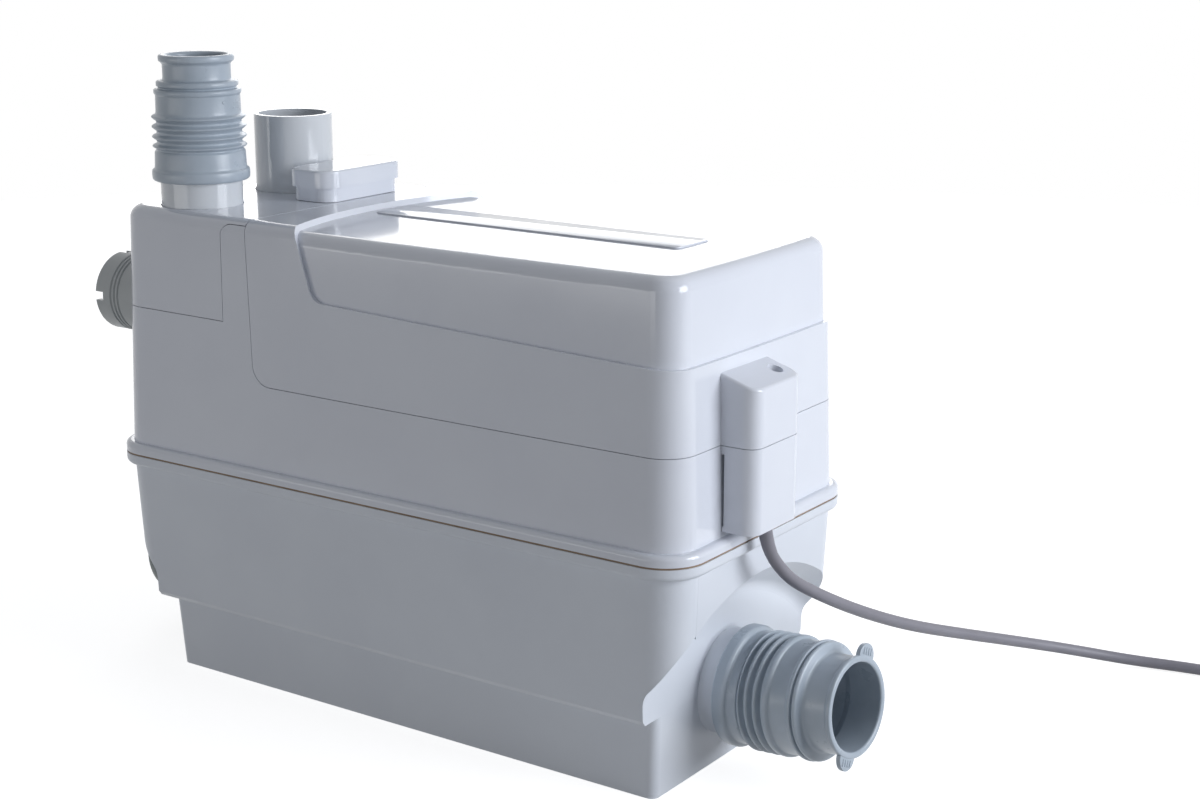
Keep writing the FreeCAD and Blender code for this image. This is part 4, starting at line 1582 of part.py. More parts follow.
def make_motor():
    plate_low = deck_top + plate_seal_height
    plate_top = plate_low + plate_thickness
    hub_height = bearing_width + plate_thickness + 2
    hub_outer = bearing_radius + 4
    seat = bearing_radius + pin_fit
    plate = turned("plate_blank", [
        (shaft_radius + 1, 0), (plate_radius, 0), (plate_radius, plate_thickness), (hub_outer, plate_thickness),
        (hub_outer, hub_height), (seat, hub_height), (seat, hub_height - bearing_width),
        (shaft_radius + 1, hub_height - bearing_width),
    ], motor_across, motor_aside, plate_low)
    holes = ring_of_holes("plate_screw_holes", plate_screw_radius + screw_fit, plate_screw_circle,
                          plate_screw_count, motor_across, motor_aside, plate_low - 1, plate_thickness + 2)
    tie_low = plate_low + plate_thickness / 2
    tie_holes = ring_of_holes("tie_screw_holes", tie_radius + screw_fit, tie_circle, tie_count,
                              motor_across, motor_aside, tie_low, plate_thickness)
    keep(boolean("Cut", "motor_plate", plate, holes, tie_holes))
    seal = ring("plate_seal_ring", motor_across, motor_aside, deck_top, plate_radius - 2, deck_opening + 1,
                plate_seal_height)
    seal_holes = ring_of_holes("seal_screw_holes", plate_screw_radius + screw_fit, plate_screw_circle,
                               plate_screw_count, motor_across, motor_aside, deck_top - 1,
                               plate_seal_height + 2)
    keep(boolean("Cut", "plate_seal", seal, seal_holes))
    reach = plate_top - plate_screw_end - 0.5
    keep(screw_circle("plate_screws", [
        (0, -reach), (plate_screw_radius, -reach), (plate_screw_radius, 0), (plate_screw_radius + 1.5, 0),
        (plate_screw_radius + 1.5, 2.5), (0, 2.5),
    ], plate_screw_circle, plate_screw_count, motor_across, motor_aside, plate_top))

    # housing with upright cooling ribs, cap with the upper bearing's seat, tie screws
    can = new_body("motor_housing")
    wall = new_sketch(can, "motor_wall_plan", "XY_Plane", plate_top)
    circle(wall, 0, 0, motor_radius)
    circle(wall, 0, 0, motor_radius - motor_wall)
    pad(can, wall, motor_top - plate_top, "motor_wall_pad")
    rib = new_sketch(can, "motor_rib_plan", "XY_Plane", plate_top)
    inner, outer = motor_radius - motor_wall / 2, motor_radius + rib_depth
    lines(rib, [(inner, -rib_half), (outer, -rib_half), (outer, rib_half), (inner, rib_half)])
    rib_pad = pad(can, rib, motor_top - plate_top - rib_depth * 2, "motor_rib")
    repeat_round(can, rib_pad, rib_count, "motor_ribs")
    keep(place_at_motor(can))
    hub_drop = bearing_width + 2
    cap = turned("cap_blank", [
        (0, cap_thickness), (0, 0), (seat, 0), (seat, -hub_drop), (hub_outer, -hub_drop), (hub_outer, 0),
        (motor_radius, 0), (motor_radius, cap_thickness),
    ], motor_across, motor_aside, motor_top)
    cap_holes = ring_of_holes("cap_screw_holes", tie_radius + screw_fit, tie_circle, tie_count,
                              motor_across, motor_aside, motor_top - 1, cap_thickness + 2)
    keep(boolean("Cut", "motor_cap", cap, cap_holes))
    tie_length = motor_top + cap_thickness - tie_low - 0.5
    keep(screw_circle("cap_screws", [
        (0, -tie_length), (tie_radius, -tie_length), (tie_radius, 0), (tie_radius + 1.7, 0),
        (tie_radius + 1.7, 3), (0, 3),
    ], tie_circle, tie_count, motor_across, motor_aside, motor_top + cap_thickness))

    core = ring("stator_core", motor_across, motor_aside, stator_low, motor_radius - motor_wall - sleeve_fit,
                stator_bore, stator_height)
    core_holes = ring_of_holes("stator_holes", tie_radius + screw_fit, tie_circle, tie_count,
                               motor_across, motor_aside, stator_low - 1, stator_height + 2)
    keep(boolean("Cut", "stator", core, core_holes))
    turns = new_body("windings")
    turns.AllowCompound = True
    for name, low in (("lower", stator_low - winding_height), ("upper", stator_low + stator_height)):
        end_turn = new_sketch(turns, f"{name}_winding_plan", "XY_Plane", low)
        circle(end_turn, 0, 0, tie_circle - tie_radius - 1.5)
        circle(end_turn, 0, 0, stator_bore + 1.6)
        pad(turns, end_turn, winding_height, f"{name}_winding")
    keep(place_at_motor(turns))
    keep(ring("rotor", motor_across, motor_aside, stator_low, rotor_radius, shaft_radius + pin_fit,
              stator_height))
    lower_seat = plate_low + hub_height - bearing_width
    for name, low in (("lower", lower_seat), ("upper", motor_top - bearing_width)):
        keep(ring(f"{name}_bearing_outer", motor_across, motor_aside, low, bearing_radius, bearing_outer,
                  bearing_width))
        keep(ring(f"{name}_bearing_inner", motor_across, motor_aside, low, bearing_inner,
                  shaft_radius + pin_fit, bearing_width))


# Level sensing and electrics on the deck
def make_electrics():
    keep(ring("level_tube", tube_across, tube_aside, tube_low, tube_radius, tube_radius - tube_wall,
              deck_top + tube_insert - tube_low))
    keep(turned("pressure_switch", [
        (tube_radius + sleeve_fit, 0), (switch_radius, 0), (switch_radius, switch_height - 6),
        (switch_radius - 7, switch_height - 4), (switch_radius - 7, switch_height), (0, switch_height),
        (0, tube_insert), (tube_radius + sleeve_fit, tube_insert),
    ], tube_across, tube_aside, deck_top))
    box = new_body("control_box")
    plan = new_sketch(box, "control_plan", "XY_Plane", deck_top)
    rounded_rectangle(plan, control_across, control_aside, control_half_x, control_half_y, control_corner)
    pad(box, plan, control_height, "control_block")
    space = new_sketch(box, "control_space_plan", "XY_Plane", deck_top + box_wall)
    inside_x, inside_y = control_half_x - box_wall, control_half_y - box_wall
    rounded_rectangle(space, control_across, control_aside, inside_x, inside_y, control_corner - box_wall)
    pocket(box, space, control_height - box_wall * 2, "control_space", True)
    keep(box)
    board_x, board_y = inside_x - board_gap, inside_y - board_gap
    board_low = deck_top + box_wall + vent_lift
    keep(block("control_board", control_across - board_x, control_across + board_x, control_aside - board_y,
               control_aside + board_y, board_low, board_low + board_thickness))
    keep(cylinder("run_capacitor", capacitor_across, capacitor_aside, deck_top + vent_lift, capacitor_radius,
                  capacitor_height))
    clip_bore = capacitor_radius + sleeve_fit
    keep(ring("capacitor_clip", capacitor_across, capacitor_aside, deck_top, clip_bore + box_wall, clip_bore,
              clip_height))
    keep(turned("cover_screw", [
        (0, screw_end - screw_seat), (screw_shank, screw_end - screw_seat), (screw_shank, 0), (screw_head, 0),
        (screw_head, screw_head_height), (0, screw_head_height),
    ], screw_across, screw_aside, screw_seat))
    floor = box_low + box_wall
    front = box_front - box_wall
    grommet = ring("gland_ring", cord_across, cord_aside, floor, gland_radius, cord_radius + sleeve_fit,
                   gland_height)
    beyond = block("gland_flat", front, box_front, cord_aside - box_width / 2, cord_aside + box_width / 2,
                   floor, floor + gland_height * 2)
    keep(boolean("Cut", "cord_gland", grommet, beyond))
    clamp = block("clamp_block", front - clamp_depth, front, cord_aside - clamp_half, cord_aside + clamp_half,
                  clamp_level, clamp_level + clamp_height)
    clamp_cuts = [cylinder("clamp_cord_hole", cord_across, cord_aside, clamp_level - 1,
                           cord_radius + sleeve_fit, clamp_height + 2)]
    screws = []
    for name, aside in clamp_places:
        middle = clamp_level + clamp_height / 2
        clamp_cuts.append(lying_cylinder(f"{name}_clamp_drill", front - clamp_depth - 1, aside, middle,
                                         clamp_screw_radius + screw_fit, clamp_depth + 2))
        screws.append(turned(f"{name}_clamp_screw", [
            (-1.6, 0), (-1.6, clamp_screw_radius * 2), (0, clamp_screw_radius * 2), (0, clamp_screw_radius),
            (clamp_depth + 1.4, clamp_screw_radius), (clamp_depth + 1.4, 0),
        ], front - clamp_depth, aside, middle, "H_Axis"))
    keep(boolean("Cut", "cord_clamp", clamp, *clamp_cuts))
    pair = doc.addObject("Part::Compound", "clamp_screws")
    pair.Links = screws
    doc.recompute()
    keep(pair)


# Mains cord: straight runs joined by tangent arcs, a coil and the plug
cord_route = [
    V(cord_across.value, cord_aside.value, box_low.value + 13),
    V(cord_across.value, cord_aside.value, box_low.value - 9),
    V(229.3, -9, 122.7), V(235.4, 16.7, 106.3), V(242.3, 57.2, 84.9), V(252.3, 104.2, 63.8),
    V(263.8, 154.3, 45.6), V(278.3, 200.9, 29.4), V(299.4, 242.5, 15.2), V(329, 270.9, 5.3),
    V(372.9, 286, 3.5), V(421.3, 290.1, 3.5), V(466.6, 278, 3.5), V(490.6, 267.6, 3.5),
]
tail_route = [
    V(517.5, 183.4, 3.5), V(538.2, 179.2, 4.5), V(558.4, 173.1, 12), V(576.5, 167.1, 19), V(590.6, 162.5, 19),
]


def cord_tube(label, route):
    """A tube along the route, each bend as large as its two runs allow."""
    edges, radii, start = [], [], route[0]
    for before, corner, after in zip(route, route[1:], route[2:]):
        back, ahead = before - corner, after - corner
        shorter = min(back.Length, ahead.Length)
        back.normalize()
        ahead.normalize()
        half_turn = (math.pi - back.getAngle(ahead)) / 2
        reach = 0.45 * shorter
        radius = reach / math.tan(half_turn)
        entry, leave = corner + back * reach, corner + ahead * reach
        inward = (back + ahead).normalize()
        middle = corner + inward * (radius / math.cos(half_turn) - radius)
        edges.append(Part.LineSegment(start, entry).toShape())
        edges.append(Part.Arc(entry, middle, leave).toShape())
        radii.append(round(radius, 1))
        start = leave
    edges.append(Part.LineSegment(start, route[-1]).toShape())
    spine = Part.Wire(edges)
    way = (route[1] - route[0]).normalize()
    section = Part.Wire([Part.Circle(route[0], way, cord_radius.value).toShape()])
    tube = doc.addObject("Part::Feature", label)
    tube.Shape = Part.Wire(edges).makePipeShell([section], True, True)
    print(f"{label}: {spine.Length:.1f} long, bend radii {radii}")
    return keep(tube)


def make_cord():
    cord_tube("power_cord", cord_route)
    coil = doc.addObject("Part::Torus", "cord_coil")
    bind(coil, "Radius1", coil_radius)
    bind(coil, "Radius2", coil_section)
    bind(coil, "Placement.Base.x", coil_across)
    bind(coil, "Placement.Base.y", coil_aside)
    bind(coil, "Placement.Base.z", coil_section)
    keep(coil)
    cord_tube("cord_tail", tail_route)
    end, way = tail_route[-1], tail_route[-1] - tail_route[-2]
    plug = turned("power_plug", [
        (0, 0), (0, cord_radius + 2), (18, cord_radius + 4.5), (23, plug_radius - 4), (29, plug_radius),
        (plug_length, plug_radius), (plug_length, 0),
    ], *end, axis="H_Axis")
    heading = FreeCAD.Rotation(V(1, 0, 0), way)
    plug.Placement.Rotation = heading
    keep(plug)
    pins = []
    for name, side in (("near", -1), ("far", 1)):
        pin = doc.addObject("Part::Cylinder", f"{name}_plug_pin")
        bind(pin, "Radius", plug_pin_radius)
        bind(pin, "Height", pin_length)
        spot = heading.multVec(V(plug_length.value, pin_spread.value * side, 0)) + end
        pin.Placement = FreeCAD.Placement(spot, heading.multiply(FreeCAD.Rotation(V(0, 1, 0), 90)))
        pins.append(pin)
    pair = doc.addObject("Part::Compound", "plug_pins")
    pair.Links = pins
    keep(pair)


make_tank()
make_shells()
make_discharge()
make_upper_inlet()
make_vent()
make_low_inlets()
make_pump()
make_motor()
make_electrics()
make_cord()
doc.recompute()

failed = [item.Label for item in doc.Objects if "Invalid" in item.State or "Error" in item.State]
for thing in kept:
    shape = thing.Shape
    if shape.isNull() or not shape.isValid() or not shape.Solids:
        failed.append(thing.Label)
if failed:
    raise RuntimeError(f"failed: {sorted(set(failed))}")
for thing in kept:
    thing.Shape.exportStep(f"parts/{thing.Label}.step")
print(len(kept), "pieces written")
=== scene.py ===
"""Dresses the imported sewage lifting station: materials, rubber sleeves, mains cord and mould marks."""
import json
import math

import bpy
import numpy as np
from mathutils import Euler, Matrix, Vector


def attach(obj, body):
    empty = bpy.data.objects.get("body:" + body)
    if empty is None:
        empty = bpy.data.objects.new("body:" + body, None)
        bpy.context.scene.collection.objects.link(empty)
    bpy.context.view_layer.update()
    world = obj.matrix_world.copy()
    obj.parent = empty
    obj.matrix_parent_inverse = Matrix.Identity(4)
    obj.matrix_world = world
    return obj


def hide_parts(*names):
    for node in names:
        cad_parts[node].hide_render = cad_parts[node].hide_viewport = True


MM = 0.001

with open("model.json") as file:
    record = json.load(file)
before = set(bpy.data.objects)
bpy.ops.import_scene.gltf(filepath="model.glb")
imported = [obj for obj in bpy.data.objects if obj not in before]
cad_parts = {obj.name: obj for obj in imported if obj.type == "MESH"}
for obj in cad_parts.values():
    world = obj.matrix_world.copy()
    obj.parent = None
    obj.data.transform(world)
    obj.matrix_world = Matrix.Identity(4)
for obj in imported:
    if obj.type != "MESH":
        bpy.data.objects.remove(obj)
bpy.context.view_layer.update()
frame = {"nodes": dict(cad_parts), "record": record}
nodes = frame["nodes"]


# ---------------------------------------------------------------- camera, lamps and floor

def place_camera():
    """The photograph's own view: solved from the flange, the foot and the uprights."""
    bpy.ops.object.camera_add(location=(0.7608, -0.9555, 0.4985),
                              rotation=(math.radians(75.73), 0, math.radians(34.74)))
    camera = bpy.context.object
    camera.name = "photo_camera"
    camera.data.sensor_width = 36
    camera.data.lens = 61.70
    bpy.context.scene.camera = camera
    bpy.context.scene.view_settings.view_transform = "Standard"


def softbox(name, place, aim, width, height, power, colour="#FFFFFF"):
    """A studio softbox at a place, turned to its aim."""
    turn = (Vector(aim) - Vector(place)).to_track_quat("-Z", "Y").to_euler()
    bpy.ops.object.light_add(type="AREA", location=place, rotation=turn)
    lamp = bpy.context.object
    lamp.name = name
    lamp.data.shape = "RECTANGLE"
    lamp.data.size, lamp.data.size_y = width, height
    lamp.data.energy = power
    lamp.data.color = tone(colour)[:3]


def light_studio():
    """Bright from the cord's end, a bright back that the tops mirror, and the long side in soft shade."""
    middle = (0, 0, 0.15)
    softbox("end_softbox", (1.9, 0.45, 0.75), middle, 1.2, 1.0, 32, "#F4F8FF")
    softbox("top_softbox", (0.05, 0.45, 1.9), middle, 1.6, 1.2, 2)
    softbox("back_softbox", (-1.3, 1.7, 0.9), middle, 1.3, 1.1, 8.5)
    softbox("low_front_softbox", (-0.7, -1.7, 0.2), middle, 1.4, 0.4, 3.9)
    world = bpy.data.worlds.new("studio")
    bpy.context.scene.world = world
    world.use_nodes = True
    tree = world.node_tree
    tree.nodes.clear()
    air = add_node(tree, "Background", {"Color": tone("#E9EFFA"), "Strength": 0.2})
    white = add_node(tree, "Background", {"Color": (1, 1, 1, 1), "Strength": 1.0})
    chosen = add_node(tree, "MixShader", {0: seen_rays(tree), 1: air.outputs[0], 2: white.outputs[0]})
    add_node(tree, "OutputWorld", {"Surface": chosen.outputs[0]})


def seen_rays(tree):
    """1 for the camera's own rays and for those mirrored or let through on the way, else 0."""
    rays = add_node(tree, "LightPath")
    either = add_node(tree, "Math", {0: rays.outputs["Is Camera Ray"], 1: rays.outputs["Is Glossy Ray"]},
                      operation="MAXIMUM")
    return add_node(tree, "Math", {0: either.outputs[0], 1: rays.outputs["Is Transmission Ray"]},
                    operation="MAXIMUM").outputs[0]


def lay_floor():
    """A plain pale floor that keeps the station's shadow."""
    deselect()
    bpy.ops.mesh.primitive_circle_add(vertices=96, radius=2.2, fill_type="NGON", location=(0, 0, 0))
    floor = bpy.context.object
    floor.name = "studio_floor"
    floor.data.materials.append(studio_paper())


# ---------------------------------------------------------------- materials

# size of the patches in which handling has changed the gloss
WEAR_MM = 18


def tone(hex_colour):
    """An sRGB hex value as the linear colour that a shader takes."""
    parts = [int(hex_colour[i:i + 2], 16) / 255 for i in (1, 3, 5)]
    return tuple(p / 12.92 if p <= 0.04045 else ((p + 0.055) / 1.055) ** 2.4 for p in parts) + (1,)


def add_node(tree, kind, inputs=None, **settings):
    """Adds a shader node, sets its settings, and links or fills its inputs."""
    made = tree.nodes.new("ShaderNode" + kind)
    for name, value in settings.items():
        setattr(made, name, value)
    for socket, value in (inputs or {}).items():
        if isinstance(value, bpy.types.NodeSocket):
            tree.links.new(value, made.inputs[socket])
        else:
            made.inputs[socket].default_value = value
    return made


def new_material(name):
    """An empty material with its object coordinates and its shader ready."""
    material = bpy.data.materials.new(name)
    material.use_nodes = True
    tree = material.node_tree
    tree.nodes.clear()
    place = add_node(tree, "TexCoord").outputs["Object"]
    skin = add_node(tree, "BsdfPrincipled")
    add_node(tree, "OutputMaterial", {"Surface": skin.outputs[0]})
    return material, tree, place, skin


def studio_paper():
    """Seamless background paper: matt, white to the camera, and mid grey to the light that it bounces."""
    material, tree, _, skin = new_material("seamless_paper")
    skin.inputs["Base Color"].default_value = tone("#BCBCBC")
    skin.inputs["Roughness"].default_value = 0.9
    skin.inputs["Specular IOR Level"].default_value = 0.1
    glow = add_node(tree, "Emission", {"Color": (1, 1, 1, 1), "Strength": 0.84})
    lit = add_node(tree, "AddShader", {0: skin.outputs[0], 1: glow.outputs[0]})
    seen = add_node(tree, "MixShader", {0: seen_rays(tree), 1: skin.outputs[0], 2: lit.outputs[0]})
    tree.links.new(seen.outputs[0], tree.nodes["Material Output"].inputs["Surface"])
    return material


def two_tones(tree, marks, deep, pale, low, high):
    """A colour that runs from deep to pale over the marks' values from low to high."""
    colour = add_node(tree, "ValToRGB", {"Fac": marks.outputs["Fac"]})
    first, last = colour.color_ramp.elements
    first.position, first.color = low, tone(deep)
    last.position, last.color = high, tone(pale)
    return colour


def coat(tree, skin, colour, gloss, bump):
    """Links a material's colour, gloss and relief to its shader."""
    tree.links.new(colour.outputs[0], skin.inputs["Base Color"])
    tree.links.new(gloss.outputs[0], skin.inputs["Roughness"])
    tree.links.new(bump.outputs[0], skin.inputs["Normal"])


def moulded(name, pale, deep, ior, roughness, grain_mm, grain_depth_mm, blotch_mm=70,
            stretch=(1, 1, 1)):
    """A plastic or rubber: flow marks in its colour, wear in its gloss and a fine grain."""
    material, tree, place, skin = new_material(name)
    stretched = add_node(tree, "Mapping", {"Vector": place, "Scale": stretch}).outputs[0]
    flow = add_node(tree, "TexNoise", {"Vector": stretched, "Scale": 1000 / blotch_mm, "Detail": 3})
    colour = two_tones(tree, flow, deep, pale, 0.3, 0.7)
    handled = add_node(tree, "TexNoise", {"Vector": place, "Scale": 1000 / WEAR_MM, "Detail": 5,
                                          "Roughness": 0.65})
    gloss = add_node(tree, "MapRange", {"Value": handled.outputs["Fac"], "From Min": 0.3, "From Max": 0.75,
                                        "To Min": roughness * 0.85, "To Max": roughness * 1.25})
    grain = add_node(tree, "TexNoise", {"Vector": stretched, "Scale": 1000 / grain_mm, "Detail": 2})
    bump = add_node(tree, "Bump", {"Height": grain.outputs["Fac"], "Distance": grain_depth_mm * MM,
                                   "Strength": 0.6})
    coat(tree, skin, colour, gloss, bump)
    skin.inputs["IOR"].default_value = ior
    return material


def metal(name, pale, deep, roughness, line_mm, line_depth_mm, stretch=(1, 1, 1)):
    """A bare metal with the marks of its making: drawn, turned or cast."""
    material, tree, place, skin = new_material(name)
    stretched = add_node(tree, "Mapping", {"Vector": place, "Scale": stretch}).outputs[0]
    marks = add_node(tree, "TexNoise", {"Vector": stretched, "Scale": 1000 / line_mm, "Detail": 4})
    colour = two_tones(tree, marks, deep, pale, 0.35, 0.65)
    gloss = add_node(tree, "MapRange", {"Value": marks.outputs["Fac"], "To Min": roughness * 0.7,
                                        "To Max": roughness * 1.3})
    bump = add_node(tree, "Bump", {"Height": marks.outputs["Fac"], "Distance": line_depth_mm * MM,
                                   "Strength": 0.5})
    coat(tree, skin, colour, gloss, bump)
    skin.inputs["Metallic"].default_value = 1.0
    return material


def make_materials():
    """One material for each slot of the record."""
    up = (1, 1, 0.06)
    return {
        # polished-mould ABS: sharp soft reflections, near white with a cool cast
        "housing": moulded("gloss_abs", "#DFE2E9", "#DBDEE6", 1.54, 0.1, 3.5, 0.008),
        # spark-eroded polypropylene: satin, a little warmer and duller than the housing
        "tank": moulded("satin_polypropylene", "#DEE2E8", "#D8DCE3", 1.49, 0.36, 0.9, 0.03, 90),
        # moulded EPDM: grey-blue, soft highlights, faint bloom in blotches
        "rubber": moulded("grey_epdm", "#B1BBC5", "#A5B0BA", 1.52, 0.3, 1.1, 0.035, 22),
        # the same rubber, darker: painted shade, a shaded copy of the grey rubber for the cap that sits in
        # shadow
        "dark_rubber": moulded("epdm_painted_shade", "#7C8484", "#70787A", 1.52, 0.45, 1.1, 0.035, 22),
        # foamed sealing cord pressed in the joint: tan and matt
        "seal": moulded("tan_seal", "#94806C", "#7F6C59", 1.5, 0.6, 0.8, 0.04, 15),
        # extruded PVC: glossy, with faint lines along its length
        "white_pipe": moulded("white_pvc", "#D9DCDF", "#D2D6DA", 1.54, 0.13, 1.0, 0.012, 60, up),
        # moulded polypropylene, grey and satin
        "port": moulded("grey_polypropylene", "#B3B6B6", "#A8ACAC", 1.49, 0.38, 0.9, 0.03, 30),
        # polished-mould ABS, a shade cooler than the housing
        "vent_plastic": moulded("light_grey_abs", "#E0E3EA", "#D9DDE5", 1.54, 0.1, 3.0, 0.012),
        # activated carbon on fleece: black, dull and fibrous
        "carbon": moulded("carbon_fleece", "#1E1E1F", "#101011", 1.5, 0.9, 0.7, 0.3, 6),
        # nitrile rubber: black and satin
        "flap_rubber": moulded("black_nitrile", "#262728", "#1B1C1D", 1.52, 0.45, 0.8, 0.02, 12),
        # turned and drawn stainless steel
        "stainless": metal("stainless_steel", "#C9C9C7", "#B9B9B7", 0.24, 0.5, 0.004, (1, 1, 8)),
        # die-cast aluminium: dull silver with a fine shot-blasted grain
        "motor_metal": metal("cast_aluminium", "#C3C5C8", "#AEB1B4", 0.46, 0.8, 0.03),
        # stacked sheets of electrical steel, seen as 0.5 mm lines
        "core": metal("sheet_stack", "#8E8F92", "#6F7073", 0.42, 0.5, 0.03, (0.02, 0.02, 1)),
        # enamelled copper wire, wound round
        "copper": metal("enamelled_copper", "#C87B4A", "#A95C30", 0.3, 0.7, 0.05, (1, 1, 4)),
        # glass-filled polyamide: black, with a faint fibre grain
        "pump_plastic": moulded("black_polyamide", "#2C2D2F", "#232426", 1.53, 0.42, 0.9, 0.02, 25),
        # flame-retardant ABS, dark grey
        "electric_box": moulded("dark_grey_abs", "#45474A", "#3B3D40", 1.54, 0.36, 0.9, 0.02, 30),
        # glass-epoxy board under green solder mask
        "board": moulded("solder_mask", "#1F6B3A", "#18572F", 1.5, 0.28, 0.8, 0.01, 4),
        # thermoplastic capacitor case
        "capacitor": moulded("white_case", "#D8D8D2", "#CFCFC8", 1.5, 0.3, 0.9, 0.01, 30),
        # rubber-sheathed mains lead
        "cord": moulded("grey_sheath", "#838189", "#79777F", 1.52, 0.48, 0.9, 0.03, 18),
        # moulded-on plug
        "plug": moulded("grey_plug_pvc", "#8B8A90", "#807F86", 1.54, 0.4, 0.9, 0.02, 20),
        # nickel-plated brass
        "pins": metal("nickel_plate", "#D4D0C4", "#C8C3B5", 0.18, 0.6, 0.003),
    }


def dress_nodes():
    """Every carried-over CAD node gets the material of its slot."""
    for part in frame["record"]["subparts"]:
        node = nodes[part["node"]]
        node.data.materials.clear()
        node.data.materials.append(materials[part["material_slot"]])


# ---------------------------------------------------------------- ways of working

def deselect():
    """Back to object mode with nothing selected, so that an operator acts on the new piece alone."""
    if bpy.context.object and bpy.context.object.mode != "OBJECT":
        bpy.ops.object.mode_set(mode="OBJECT")
    bpy.ops.object.select_all(action="DESELECT")


def work_on(piece):
    """Selects one piece alone and makes it active."""
    deselect()
    piece.select_set(True)
    bpy.context.view_layer.objects.active = piece


def link(name, data):
    """A new object in the scene with this mesh or curve."""
    piece = bpy.data.objects.new(name, data)
    bpy.context.scene.collection.objects.link(piece)
    return piece


def closed_loop(name, points):
    """An object of one closed chain of edges through points in metres."""
    mesh = bpy.data.meshes.new(name)
    mesh.from_pydata(points, [(i, (i + 1) % len(points)) for i in range(len(points))], [])
    return link(name, mesh)


def block(centre, extent):
    """A plain block by its centre and its extent in mm."""
    bpy.ops.mesh.primitive_cube_add(size=1, location=[v * MM for v in centre])
    made = bpy.context.object
    made.scale = [v * MM for v in extent]
    bpy.ops.object.transform_apply(location=True, scale=True)
    return made


def cut_off(level, side=1):
    """Cuts the mesh in edit mode across Y at a level in mm, drops what lies beyond and closes the cut."""
    bpy.ops.mesh.select_all(action="SELECT")
    bpy.ops.mesh.bisect(plane_co=(0, level * MM, 0), plane_no=(0, side, 0), use_fill=True,
                        clear_outer=True)


def spun(name, profile, place=(0, 0, 0), turn=(0, 0, 0), rounding=0.4, steps=96):
    """A closed profile of (radius, height) in mm, its corners rounded, spun upright and set in place."""
    corners = []
    for before, corner, after in zip(profile[-1:] + profile, profile, profile[1:] + profile[:1]):
        back, ahead = Vector(before) - Vector(corner), Vector(after) - Vector(corner)
        if corner[0] < 0.01:
            corners.append(Vector(corner))
            continue
        entry = Vector(corner) + back.normalized() * min(rounding, 0.4 * back.length)
        leave = Vector(corner) + ahead.normalized() * min(rounding, 0.4 * ahead.length)
        corners += [entry, (entry + leave + 2 * Vector(corner)) / 4, leave]
    piece = closed_loop(name, [(radius * MM, 0, height * MM) for radius, height in corners])
    work_on(piece)
    bpy.ops.object.mode_set(mode="EDIT")
    bpy.ops.mesh.select_all(action="SELECT")
    bpy.ops.mesh.spin(steps=steps, angle=2 * math.pi, center=(0, 0, 0), axis=(0, 0, 1))
    bpy.ops.mesh.select_all(action="SELECT")
    bpy.ops.mesh.remove_doubles(threshold=0.000002)
    bpy.ops.mesh.normals_make_consistent(inside=False)
    bpy.ops.object.mode_set(mode="OBJECT")
    settle(piece, place, turn)
    return piece


def settle(piece, place=(0, 0, 0), turn=(0, 0, 0)):
    """Turns and moves a piece in mm and degrees, and leaves the place in its mesh."""
    work_on(piece)
    piece.rotation_euler = [math.radians(a) for a in turn]
    piece.location = [v * MM for v in place]
    bpy.ops.object.transform_apply(location=True, rotation=True, scale=True)


def soften(piece, width, segments=2, sharp=30):
    """Rounds a piece's sharp edges by a width in mm."""
    work_on(piece)
    edge = piece.modifiers.new("soft_edges", "BEVEL")
    edge.width = width * MM
    edge.segments = segments
    edge.limit_method = "ANGLE"
    edge.angle_limit = math.radians(sharp)
    bpy.ops.object.modifier_apply(modifier=edge.name)


def join_all(piece, others):
    """Joins the others to a piece."""
    work_on(piece)
    for other in others:
        other.select_set(True)
    bpy.ops.object.join()


def finish_piece(piece, body, slot, *replaced, sharp=40):
    """Smooth shading, material, body and slot of a new piece, and the CAD nodes it stands for."""
    if piece.type == "MESH":
        work_on(piece)
        bpy.ops.object.shade_smooth_by_angle(angle=math.radians(sharp))
    piece.data.materials.clear()
    piece.data.materials.append(materials[slot])
    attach(piece, body)
    if replaced:
        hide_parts(*replaced)


# ---------------------------------------------------------------- mains cord, coil, boot, tie and plug

CORD_ROUTE = [(223.8, -24.4, 168), (223.8, -24.4, 146), (229.3, -9, 122.7), (235.4, 16.7, 106.3),
              (242.3, 57.2, 84.9), (252.3, 104.2, 63.8), (263.8, 154.3, 45.6), (278.3, 200.9, 29.4),
              (299.4, 242.5, 15.2), (329, 270.9, 5.3), (372.9, 286, 3.5), (421.3, 290.1, 3.5),
              (466.6, 278, 3.5)]
CORD_TAIL = [(535.8, 211, 8.5), (539, 196, 5.5), (547, 181.5, 6), (560, 172.6, 12.4), (578.5, 166.4, 19),
             (590.6, 162.5, 19)]
COIL_MIDDLE = (495.3, 222.8)
CORD_RADIUS = 3.5
# the turns: where the cord comes in and the step between its points, in degrees, then its radius and
# height along the sweep
COIL_START, COIL_STEP = 96, 24
COIL_SWEEP = [0, 60, 290, 360, 560, 630, 780, 816]
COIL_RADIUS = [45.5, 43.6, 43.6, 37, 36.2, 39.6, 39.6, 40.2]
COIL_HEIGHT = [3.5, 3.5, 3.5, 3.5, 3.5, 10.6, 10.6, 10.2]


def coil_points():
    """The put-away turns: one on the floor outside, one inside it, and one lying on both."""
    made = []
    for sweep in range(0, COIL_SWEEP[-1] + 1, COIL_STEP):
        angle = math.radians(COIL_START - sweep)
        radius = np.interp(sweep, COIL_SWEEP, COIL_RADIUS)
        made.append((COIL_MIDDLE[0] + radius * math.cos(angle), COIL_MIDDLE[1] + radius * math.sin(angle),
                     np.interp(sweep, COIL_SWEEP, COIL_HEIGHT)))
    return made


